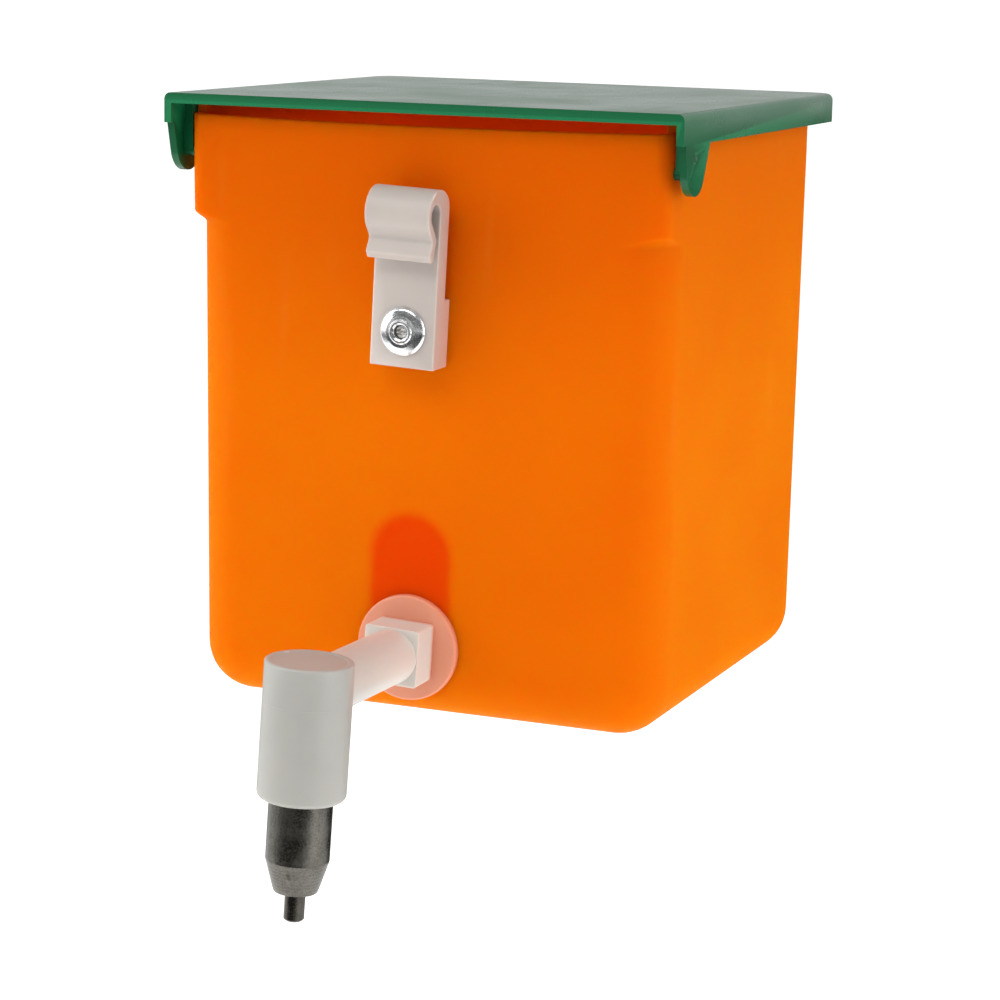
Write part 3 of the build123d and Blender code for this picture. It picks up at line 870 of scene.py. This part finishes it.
ribs, pins, dimples = [], [], []
for side in (-1, 1):
    rib_outer = lid_half - lid_wall / 2
    rib_plan = [(side * rib_inner, hinge.y - rib_width / 2), (side * rib_outer, hinge.y - rib_width / 2),
                (side * rib_outer, hinge.y + rib_width / 2), (side * rib_inner, hinge.y + rib_width / 2)]
    ribs.append(extrude(rib_plan, hinge.z + 0.1, lid_top - lid_plate / 2))
    inner, outer = sorted((side * pin_inner, side * (rib_outer - 0.2)))
    pin_outline = soften([(0, inner, 0), (pin_radius, inner, 0.25), (pin_radius, outer, 0.25), (0, outer, 0)],
                         closed=False)
    pins.append(moved(turn(pin_outline, 48, ring=False), Matrix.Translation((0, hinge.y, hinge.z)) @ ALONG_X))
    spot = Matrix.Translation((side * (lid_half + dimple_out), *dimple_spot))
    dimples.append(moved(ball_mesh(dimple_ball), spot))
lid_shell = carve(lid_shell, join=ribs + pins, cut=dimples)
add_piece("moulded_lid", lid_shell, "lid", ["lid"], green, tank_plane, edge=0.18, steps=2)

# %% [markdown]
# ## The hanging clip
# The clip is sawn from a long extruded strip, so every slice across it is the same: a pad against
# the tank, a stem, and a loop that snaps over a cage wire. One outline and one push through a die
# make it, and a bevel takes the saw's sharp edge off.

# %% Draw and extrude the clip
clip_width = 13.4
stem_front = 6.6
stem_back = 2.4
pad_high = 6.3                # the pad against the wall, above and below the rivet
pad_low = -7.0
eye_radius = 2.1
loop_middle = 7.3
loop_radius = 4.9
shoulder_height = 24.1

throat = (7.8, 18.3, 0.7)     # out from the wall, above the rivet, rounding
lip = [(9.0, 14.3, 0.3), (9.9, 14.0, 0.35), (10.9, 15.2, 0.5)]
neck = (9.5, 18.0, 0.9)
eye_exit = (10.0, 21.3, 0)    # this and the next aren't drawn: they aim the throat and the neck
loop_exit = (11.1, 19.8, 0)
shoulder_rise = eye_height + loop_radius - shoulder_height
clip_outline = [Vector((stem_back, pad_high)), Vector((0, pad_high)), Vector((0, pad_low)),
                Vector((stem_front, pad_low))]
clip_outline += arc((eye_out, eye_height), eye_radius, eye_radius, 180, -50, 26)
clip_outline += soften([eye_exit, throat] + lip + [neck, loop_exit], closed=False)[1:-1]
clip_outline += arc((loop_middle, eye_height), loop_radius, loop_radius, -38, 90, 18)
clip_outline += arc((loop_middle, shoulder_height), loop_middle - stem_back, shoulder_rise, 90, 180, 12)[1:]
clip_bar = extrude(clip_outline, -clip_width / 2, clip_width / 2)
strip_to_wall = Matrix(((0, 0, 1, 0), (-1, 0, 0, 0), (0, 1, 0, 0), (0, 0, 0, 1)))
clip_bar = moved(clip_bar, strip_to_wall)
clip_bar = carve(clip_bar, cut=[moved(rod(rivet_hole, -1, 9), OUT_OF_WALL)])
add_piece("snap_clip", clip_bar, "tank_set", ["hanging_clip"], clip_nylon, clip_plane,
          edge=0.28, steps=3, angle=32)

# %% [markdown]
# ## The blind rivet
# A blind rivet is set from outside: a tool pulls its steel stem, the tube swells behind the wall, and
# the stem breaks off inside the head. All of it is turned: the domed head with its ring, the bulb
# behind the washer, and the stem, whose broken end is roughened point by point.

# %% Turn the rivet, its stem, washer and seal
rivet_bore = 1.4
rivet_shank = 2.4
rivet_head = 4.75
seal_far = -3.2               # rubber washer, metal washer and bulb follow one another inside the wall
washer_far = -4.2
bulb_far = -8.8
washer_radius = 6.5
rivet_outline = soften([
    (rivet_bore, 7.75, 0.12), (1.75, 7.98, 0.12), (2.15, 7.98, 0.12), (2.4, 7.72, 0.12), (3.05, 7.68, 0.3),
    (4.3, 7.28, 0.9), (rivet_head, 6.85, 0.18), (rivet_head, stem_front, 0.05), (rivet_shank, stem_front, 0),
    (rivet_shank, washer_far, 0.1), (3.6, washer_far, 0.3), (3.95, -6.5, 2.0), (2.7, bulb_far, 0.4),
    (rivet_bore, bulb_far, 0)])
add_piece("set_rivet", turn(rivet_outline), "tank_set", ["rivet_body"], aluminium,
          clip_plane @ OUT_OF_WALL, angle=30)

stem_outline = soften([(0, -10.3, 0), (2.2, -10.3, 0.6), (2.2, -8.8, 0.1), (1.35, -8.8, 0), (1.35, 6.9, 0.1),
                       (1.12, 7.2, 0.1), (0.75, 7.05, 0.1), (0.4, 7.2, 0.1), (0, 7.15, 0)], closed=False)
stem = turn(stem_outline, ring=False)
for vertex in stem.vertices:
    if vertex.co.z > 6.95:
        rough = noise.noise(vertex.co * 2.2) * 0.22 + vertex.co.x * 0.16
        vertex.co.z += rough * (1 - min(1.0, vertex.co.xy.length / 1.4) ** 3)
add_piece("broken_stem", stem, "tank_set", ["rivet_mandrel"], stem_steel,
          clip_plane @ OUT_OF_WALL, angle=30)


def ring(inner, outer, low, high, edge):
    """Flat ring with softened edges."""
    return turn(soften([(inner, low, edge), (outer, low, edge), (outer, high, edge), (inner, high, edge)]))


add_piece("rubber_washer", ring(rivet_hole, washer_radius, seal_far, -tank_wall, 0.25), "tank_set",
          ["rivet_seal"], rubber, clip_plane @ OUT_OF_WALL, angle=30)
add_piece("metal_washer", ring(rivet_hole, washer_radius, washer_far, seal_far, 0.15), "tank_set",
          ["rivet_washer"], washer_steel, clip_plane @ OUT_OF_WALL, angle=30)

# %% [markdown]
# ## The outlet elbow
# The elbow brings water from the tank to the nipple. It is one nylon moulding with a flange against
# the wall, a square collar for the fitter's fingers, a round arm and an upright barrel, and it is
# hollow all the way. Its pieces are turned or extruded one by one and joined into one solid. The
# bores are joined into one water way too, and a single cut takes it out: cutting bore after bore on
# the same axis can leave a mesh open.

# %% Shape the elbow
flange_radius = 10.6
collar_half = 5.7
arm_radius = 5.45
barrel_radius = 8.35
barrel_top = 6.6
spigot_radius = 4.8
thread_root = 4.35
thread_start = -3.6
spigot_end = -9.5
seam_height = barrel_top - 7.6
nipple_socket = 6.05
well_radius = 4.2
arm_bore = 2.2
spigot_bore = 2.5

flange = turn(soften([(0, -0.02, 0), (flange_radius, 0, 0.15), (flange_radius, flange_thickness, 0.5),
                      (0, flange_thickness, 0)], closed=False), ring=False)
square = ((-1, -1), (1, -1), (1, 1), (-1, 1))
collar_plan = soften([(a * collar_half, b * collar_half, 0.6) for a, b in square])
collar = extrude(collar_plan, 1.2, shoulder)
spigot = turn(soften([(0, spigot_end, 0), (thread_root, spigot_end, 0.5), (thread_root, thread_start, 0.1),
                      (spigot_radius, thread_start + 0.45, 0.1), (spigot_radius, 1, 0), (0, 1, 0)],
                     closed=False), ring=False)
arm = rod(arm_radius, 0, arm_reach - shoulder + 1)
barrel = turn(soften([(0, barrel_top - 0.18, 0), (6.9, barrel_top - 0.18, 0.3), (7.3, barrel_top, 0.3),
                      (barrel_radius, barrel_top, 0.75), (barrel_radius, seam_height + 0.10, 0.03),
                      (barrel_radius - 0.025, seam_height, 0.03), (barrel_radius, seam_height - 0.10, 0.03),
                      (barrel_radius, -barrel_below_arm, 1.2), (0, -barrel_below_arm, 0)],
                     closed=False), ring=False)

to_outlet = outlet_plane.inverted() @ barrel_plane
arm_to_wall = Matrix.Rotation(math.radians(-90), 4, "X")     # the arm runs from the barrel back to the wall
joined = [moved(collar, OUT_OF_WALL), moved(spigot, OUT_OF_WALL), moved(arm, to_outlet @ arm_to_wall),
          moved(barrel, to_outlet)]
socket_top = nipple_top + 1.5
well_top = barrel_top - 3.4
open_end = -barrel_below_arm - 1
barrel_bore = turn([(0, open_end), (nipple_socket, open_end), (nipple_socket, socket_top),
                    (well_radius, socket_top), (well_radius, well_top), (0, well_top)], ring=False)
bores = [moved(barrel_bore, to_outlet),
         moved(rod(arm_bore, 0.4, arm_reach - shoulder + 0.5, 64), to_outlet @ arm_to_wall),
         moved(rod(spigot_bore, spigot_end - 1, shoulder + 0.3, 72), OUT_OF_WALL)]
water_way = carve(bores[0], join=bores[1:])
elbow = carve(moved(flange, OUT_OF_WALL), join=joined, cut=[water_way])
print("water way:", open_edges(water_way), "open edges; elbow:", open_edges(elbow))
add_piece("outlet_moulding", elbow, "tank_set", ["outlet_elbow"], elbow_nylon, outlet_plane,
          edge=0.22, steps=2, angle=50)

# %% [markdown]
# ### The spigot's thread
# A thread is a ridge that climbs by the same step at every turn, which is a rule, so Geometry Nodes
# make it: a spiral, a small round section carried along it, one plain mesh at the end. The same tree
# makes the valve spring later, with other numbers.

# %% A Geometry Nodes tree for anything wound
def new_tree(name, inputs):
    """An empty geometry tree with number inputs; returns it with its input and output nodes."""
    tree = bpy.data.node_groups.new(name, "GeometryNodeTree")
    tree.interface.new_socket("Geometry", in_out="OUTPUT", socket_type="NodeSocketGeometry")
    tree.interface.new_socket("Finish", in_out="INPUT", socket_type="NodeSocketMaterial")
    for label, kind in inputs:
        tree.interface.new_socket(label, in_out="INPUT", socket_type=kind)
    return tree, tree.nodes.new("NodeGroupInput"), tree.nodes.new("NodeGroupOutput")


def close_tree(tree, given, result, geometry):
    """End a tree in Realize Instances and Set Material."""
    real = tree.nodes.new("GeometryNodeRealizeInstances")
    finish = tree.nodes.new("GeometryNodeSetMaterial")
    tree.links.new(geometry, real.inputs[0])
    tree.links.new(real.outputs[0], finish.inputs["Geometry"])
    tree.links.new(given.outputs["Finish"], finish.inputs["Material"])
    tree.links.new(finish.outputs[0], result.inputs[0])


def grow(tree, **values):
    """Run a tree once with its inputs set by identifier and return the plain mesh."""
    holder = temporary(bpy.data.meshes.new("seed"))
    growth = holder.modifiers.new("grow", "NODES")
    growth.node_group = tree
    for item in tree.interface.items_tree:
        if item.in_out == "INPUT":
            growth[item.identifier] = values[item.name.replace(" ", "_")]
    mesh = evaluated(holder)
    holder.modifiers.clear()
    bpy.data.objects.remove(holder)
    return mesh


winding, given, result = new_tree("winding", [
    ("Turns", "NodeSocketFloat"), ("Radius", "NodeSocketFloat"), ("Height", "NodeSocketFloat"),
    ("Wire radius", "NodeSocketFloat"), ("Steps per turn", "NodeSocketInt")])
spiral = winding.nodes.new("GeometryNodeCurveSpiral")
section = winding.nodes.new("GeometryNodeCurvePrimitiveCircle")
section.inputs["Resolution"].default_value = 10
tube = winding.nodes.new("GeometryNodeCurveToMesh")
tube.inputs["Fill Caps"].default_value = True
for source, target in (("Turns", "Rotations"), ("Radius", "Start Radius"), ("Radius", "End Radius"),
                       ("Height", "Height"), ("Steps per turn", "Resolution")):
    winding.links.new(given.outputs[source], spiral.inputs[target])
winding.links.new(given.outputs["Wire radius"], section.inputs["Radius"])
winding.links.new(spiral.outputs[0], tube.inputs["Curve"])
winding.links.new(section.outputs[0], tube.inputs["Profile Curve"])
close_tree(winding, given, result, tube.outputs[0])
print("winding tree:", len(winding.nodes), "nodes")

# %% Thread on the spigot
thread_pitch = 1.1
thread_turns = 4.6
thread = grow(winding, Finish=elbow_nylon, Turns=thread_turns, Radius=4.42,
              Height=thread_pitch * thread_turns, Wire_radius=0.36, Steps_per_turn=48)
thread = moved(thread, Matrix.Translation((0, 0, spigot_end + 0.45)))
add_piece("spigot_thread", thread, "tank_set", [], elbow_nylon, outlet_plane @ OUT_OF_WALL,
          angle=50)

# %% [markdown]
# ## The nut and the gasket inside the tank
# A hexagon nut pulls the flange against the wall, with a rubber gasket between nut and wall. The nut
# is a hexagon cut by a turned shape, which leaves the round chamfers that a turned nut has at its
# six corners. The gasket's own model already takes the curve of the tank's floor, so it stays and
# only gets a better finish.

# %% Cut the nut, finish the gasket
nut_flats = 16.0
nut_near = -3.5
nut_far = -8.5
nut_corner = nut_flats / 2 / math.cos(math.radians(30))
hexagon = arc((0, 0), nut_corner, nut_corner, 0, 300, 5)
nut_face = 7.6                # where the round chamfer starts on both flat faces
nut_reach = 9.4
nut_slope = 0.95              # and how far it comes down at the corners
blank = turn(soften([(0, nut_far, 0), (nut_face, nut_far, 0.1), (nut_reach, nut_far + nut_slope, 0.2),
                     (nut_reach, nut_near - nut_slope, 0.2), (nut_face, nut_near, 0.1), (0, nut_near, 0)],
                    closed=False), ring=False)
nut_bore = turn([(0, nut_far - 1), (6.4, nut_far - 1), (4.85, nut_far + 0.55), (4.85, nut_near - 0.55),
                 (6.4, nut_near + 1), (0, nut_near + 1)], ring=False)
nut = carve(extrude(hexagon, nut_far, nut_near), cut=[nut_bore], keep=[blank])
add_piece("hexagon_nut", nut, "tank_set", ["lock_nut"], nut_nylon, outlet_plane @ OUT_OF_WALL,
          edge=0.15, steps=2)
gasket = frame["nodes"]["outlet_gasket"]
gasket.data.materials.clear()
gasket.data.materials.append(rubber)
print("gasket keeps its model and takes", rubber.name)

# %% [markdown]
# ## The nipple
# The nipple is turned from a nickel-plated bar: a plain barrel pressed into the elbow, a cone below,
# and a stepped bore for seat, spring and retainer. The lathe tool leaves fine steps on the cone, so
# its outline is drawn with a small tooth for every pass of the tool. One raised burr stays on the
# cone, as on many cheap turned parts.

# %% Turn the nipple's body
nipple_radius = 6.0
cone_tip = 4.15
chamber = 4.3
exit_hole = 3.0
retainer_seat = 5.0
retainer_low = nipple_top - 1.2
tool_passes = 9
tool_tooth = 0.05

cone_points = []
for tool_pass in range(1, tool_passes):
    share = tool_pass / tool_passes
    height = seat_low - cone_length * share
    radius = nipple_radius + (cone_tip - nipple_radius) * share
    cone_points += [(radius + tool_tooth, height + 0.06, 0.02), (radius - tool_tooth, height - 0.06, 0.02)]
body_outline = soften(
    [(exit_hole, nipple_bottom, 0.15), (exit_hole, seat_low, 0), (chamber, seat_low, 0),
     (chamber, retainer_low, 0), (retainer_seat, retainer_low, 0), (retainer_seat, nipple_top, 0.15),
     (nipple_radius, nipple_top, 0.3), (nipple_radius, seat_low, 0.12)]
    + cone_points + [(cone_tip, nipple_bottom, 0.25)], steps=3)
body = turn(body_outline)

burr_spot = Vector((0.9, -5.3, seat_low - 0.45 * cone_length))
burr_height = 0.22
for vertex in body.vertices:
    apart = vertex.co - burr_spot
    near = math.exp(-(apart.x / 0.28) ** 2 - (apart.z / 0.9) ** 2)
    if vertex.co.y < -3.5:
        vertex.co.y -= burr_height * near
add_piece("nipple_barrel", body, "tank_set", ["nipple_body"], nickel, barrel_plane, angle=30)

# %% [markdown]
# ## What lies inside the nipple
# From the tip upwards: a rubber seat, the pin's ball on it, a follower cup, a spring and a pierced
# retainer. The round rings are turned. The retainer is a disc with holes on a circle and the spring
# is a wound wire, and both follow a rule, so Geometry Nodes make them.

# %% Seat, seal ring and follower
seat_radius = 4.27
bearing = ball_radius + 0.1   # the hollow that the ball turns in


def hollow_radius(height):
    """Radius of the ball's hollow at a height."""
    return math.sqrt(bearing**2 - (height - ball_height) ** 2)


def hollow_height(radius):
    """Height of the ball's hollow above the ball's middle at a radius."""
    return math.sqrt(bearing**2 - radius**2)


seat = turn(soften([(2.9, seat_low, 0.1), (seat_radius, seat_low, 0.1), (seat_radius, seat_high, 0.1),
                    (hollow_radius(seat_high), seat_high, 0), (2.9, ball_height - hollow_height(2.9), 0)]))
add_piece("rubber_seat", seat, "tank_set", ["valve_seat"], rubber, barrel_plane, angle=30)
add_piece("seal_ring", ring(4.4, 5.97, nipple_top, nipple_top + 1.5, 0.2), "tank_set",
          ["nipple_seal_ring"], rubber, barrel_plane, angle=30)

cup_low = ball_height + ball_radius / 2
cup_high = cup_low + 3.0
rim_angle = math.degrees(math.asin((cup_low - ball_height) / bearing))
bore_angle = math.degrees(math.acos(1.4 / bearing))
cup_outline = soften([(1.4, cup_high, 0.1), (4.0, cup_high, 0.3), (4.0, cup_low, 0.15)], closed=False)
cup_outline += arc((0, ball_height), bearing, bearing, rim_angle, bore_angle, 10)
add_piece("follower_cup", turn(cup_outline), "follower", ["spring_follower"], cup_plastic,
          barrel_plane, angle=30)

# %% A Geometry Nodes tree for a pierced disc
piercing, given, result = new_tree("pierced disc", [
    ("Radius", "NodeSocketFloat"), ("Thickness", "NodeSocketFloat"), ("Hole radius", "NodeSocketFloat"),
    ("Hole circle", "NodeSocketFloat"), ("Holes", "NodeSocketInt")])
disc = piercing.nodes.new("GeometryNodeMeshCylinder")
punch = piercing.nodes.new("GeometryNodeMeshCylinder")
spots = piercing.nodes.new("GeometryNodeMeshCircle")
punches = piercing.nodes.new("GeometryNodeInstanceOnPoints")
through = piercing.nodes.new("GeometryNodeMeshBoolean")
through.operation = "DIFFERENCE"
through.solver = "EXACT"
disc.inputs["Vertices"].default_value = ROUND
punch.inputs["Vertices"].default_value = 32
for source, target in (("Radius", disc.inputs["Radius"]), ("Thickness", disc.inputs["Depth"]),
                       ("Hole radius", punch.inputs["Radius"]), ("Hole circle", spots.inputs["Radius"]),
                       ("Holes", spots.inputs["Vertices"])):
    piercing.links.new(given.outputs[source], target)
twice = piercing.nodes.new("ShaderNodeMath")
twice.operation = "MULTIPLY"
twice.inputs[1].default_value = 2.0
piercing.links.new(given.outputs["Thickness"], twice.inputs[0])
piercing.links.new(twice.outputs[0], punch.inputs["Depth"])
piercing.links.new(spots.outputs[0], punches.inputs["Points"])
piercing.links.new(punch.outputs[0], punches.inputs["Instance"])
piercing.links.new(disc.outputs[0], through.inputs["Mesh 1"])
piercing.links.new(punches.outputs[0], through.inputs["Mesh 2"])
close_tree(piercing, given, result, through.outputs[0])
print("piercing tree:", len(piercing.nodes), "nodes")

# %% Retainer and spring
retainer = grow(piercing, Finish=cup_plastic, Radius=retainer_seat - 0.03,
                Thickness=nipple_top - retainer_low, Hole_radius=0.9, Hole_circle=2.4, Holes=4)
retainer = moved(retainer, Matrix.Translation((0, 0, (retainer_low + nipple_top) / 2)))
add_piece("pierced_retainer", retainer, "tank_set", ["spring_retainer"], cup_plastic,
          barrel_plane, edge=0.1, steps=2)

wire_radius = 0.3
spring_low = cup_high + 0.1 + wire_radius
spring_high = retainer_low - 0.1 - wire_radius
spring = grow(winding, Finish=spring_steel, Turns=7.0, Radius=2.9, Height=spring_high - spring_low,
              Wire_radius=wire_radius, Steps_per_turn=48)
spring = moved(spring, Matrix.Translation((0, 0, spring_low)))
coil = add_piece("valve_spring", spring, "tank_set", ["pin_spring"], spring_steel,
                 barrel_plane)
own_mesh(coil)

# %% [markdown]
# ## The trigger pin
# The pin is what the rabbit's tongue touches: a turned steel rod with a ball on its upper end. The
# ball rests on the rubber seat, so the pin both slides in and rocks to every side.

# %% Turn the pin
pin_stem = 1.93
pin_tip = nipple_bottom - 5.8
neck_angle = math.degrees(math.acos(pin_stem / ball_radius))
neck_height = ball_height - ball_radius * math.sin(math.radians(neck_angle))
pin_outline = soften([(0, pin_tip - 0.06, 0), (pin_stem - 0.45, pin_tip, 0.3),
                      (pin_stem, pin_tip + 0.4, 0.12), (pin_stem, neck_height, 0)], closed=False)
pin_outline += arc((0, ball_height), ball_radius, ball_radius, -neck_angle, 88, 24)[1:]
pin_outline.append(Vector((0, ball_height + ball_radius)))
add_piece("ball_headed_pin", turn(pin_outline, ring=False), "trigger", ["trigger_pin"],
          pin_steel, barrel_plane, angle=30)

# %% [markdown]
# ## Floor, light and camera
# The drinker hangs in front of a plain white table that is lit from below too, as products are often
# shown, so the ground is pale to its far edge. Soft boxes stand to the left and right, with the side
# towards the viewer darker: that gives the metal its dark middle and its bright flanks.

# %% White table
table_drop = 0.42
table_reach = 70.0
table = bpy.data.meshes.new("table")
table.from_pydata([(a * table_reach, b * table_reach, -table_drop) for a, b in square], [], [(0, 1, 2, 3)])
paint, tree, shader, place = start_finish("white table", Base_Color=(0.9, 0.9, 0.9, 1), Roughness=0.8,
                                          Emission_Color=(1, 1, 1, 1), Emission_Strength=0.6)
table.materials.append(paint)
floor = bpy.data.objects.new("table", table)
bpy.context.scene.collection.objects.link(floor)
print("table lies", table_drop, "m below the eye")


# %% Sky light, darker in front
sky = bpy.data.worlds.new("studio")
sky.use_nodes = True
bpy.context.scene.world = sky
tree = sky.node_tree
backdrop = tree.nodes["Background"]
direction = tree.nodes.new("ShaderNodeTexCoord").outputs["Generated"]
axes = tree.nodes.new("ShaderNodeSeparateXYZ")
tree.links.new(direction, axes.inputs[0])
front_light = 0.12
back_light = 0.8
brightness = spread(tree, axes.outputs["Y"], -0.9, 0.5, front_light, back_light, soft=True)
tree.links.new(brightness, backdrop.inputs["Strength"])
backdrop.inputs["Color"].default_value = (1, 1, 1, 1)


# %% Soft boxes
def soft_box(name, place, target, size, power):
    light = bpy.data.lights.new(name, "AREA")
    light.shape = "RECTANGLE"
    light.size, light.size_y = size
    light.energy = power
    lamp = bpy.data.objects.new(name, light)
    bpy.context.scene.collection.objects.link(lamp)
    aim = (Vector(target) - Vector(place)).to_track_quat("-Z", "Y")
    lamp.matrix_world = Matrix.Translation(place) @ aim.to_matrix().to_4x4()
    print("soft box", name, power, "W")


middle = (0.0, 0.02, -0.05)
soft_box("left box", (-0.85, -0.45, 0.30), middle, (0.5, 0.8), 5.6)
soft_box("right box", (0.95, -0.20, 0.20), middle, (0.4, 0.8), 4.5)
soft_box("high front box", (-0.15, -0.80, 0.85), middle, (0.9, 0.5), 6.4)

# %% Two dark cards
# One lies on the table where the viewer stands, one stands low behind the drinker. Only reflections
# see them, so they throw no shadow. Metal mirrors the first one, and the glossy side walls would look
# chalky without the second.
felt, tree, shader, place = start_finish("dark felt", Base_Color=(0.03, 0.03, 0.03, 1), Roughness=0.9)


def dark_card(name, corners):
    card = bpy.data.meshes.new(name)
    card.from_pydata(corners, [], [(0, 1, 2, 3)])
    card.materials.append(felt)
    flag = bpy.data.objects.new(name, card)
    bpy.context.scene.collection.objects.link(flag)
    flag.visible_camera = False
    flag.visible_diffuse = False
    flag.visible_transmission = False
    flag.visible_shadow = False
    print(name, "is seen by reflections only")


lying = 0.02 - table_drop
dark_card("front_card", [(-2, -4, lying), (2, -4, lying), (2, -0.45, lying), (-2, -0.45, lying)])
dark_card("rear_card", [(-0.9, 0.6, lying), (0.9, 0.6, lying), (0.9, 0.6, 0.0), (-0.9, 0.6, 0.0)])

# %% Camera
camera_place = Vector((0.226402, -0.504374, 0.050244))
camera_turn = 0.387           # radians to the left of +Y
camera_dip = 0.188            # below the horizon
camera_roll = 0.021
lens = bpy.data.cameras.new("camera")
lens.sensor_width = 36.0
lens.lens = 105.0
camera = bpy.data.objects.new("camera", lens)
bpy.context.scene.collection.objects.link(camera)
level = math.cos(camera_dip)
ahead = Vector((-math.sin(camera_turn) * level, math.cos(camera_turn) * level, -math.sin(camera_dip)))
level_right = ahead.cross(Vector((0, 0, 1))).normalized()
level_up = level_right.cross(ahead)
right = level_right * math.cos(camera_roll) + level_up * math.sin(camera_roll)
above = level_up * math.cos(camera_roll) - level_right * math.sin(camera_roll)
camera.matrix_world = Matrix.Translation(camera_place) @ Matrix((right, above, -ahead)).transposed().to_4x4()
bpy.context.scene.camera = camera
bpy.context.scene.view_settings.view_transform = "Standard"
print("camera at", [round(value, 3) for value in camera_place])
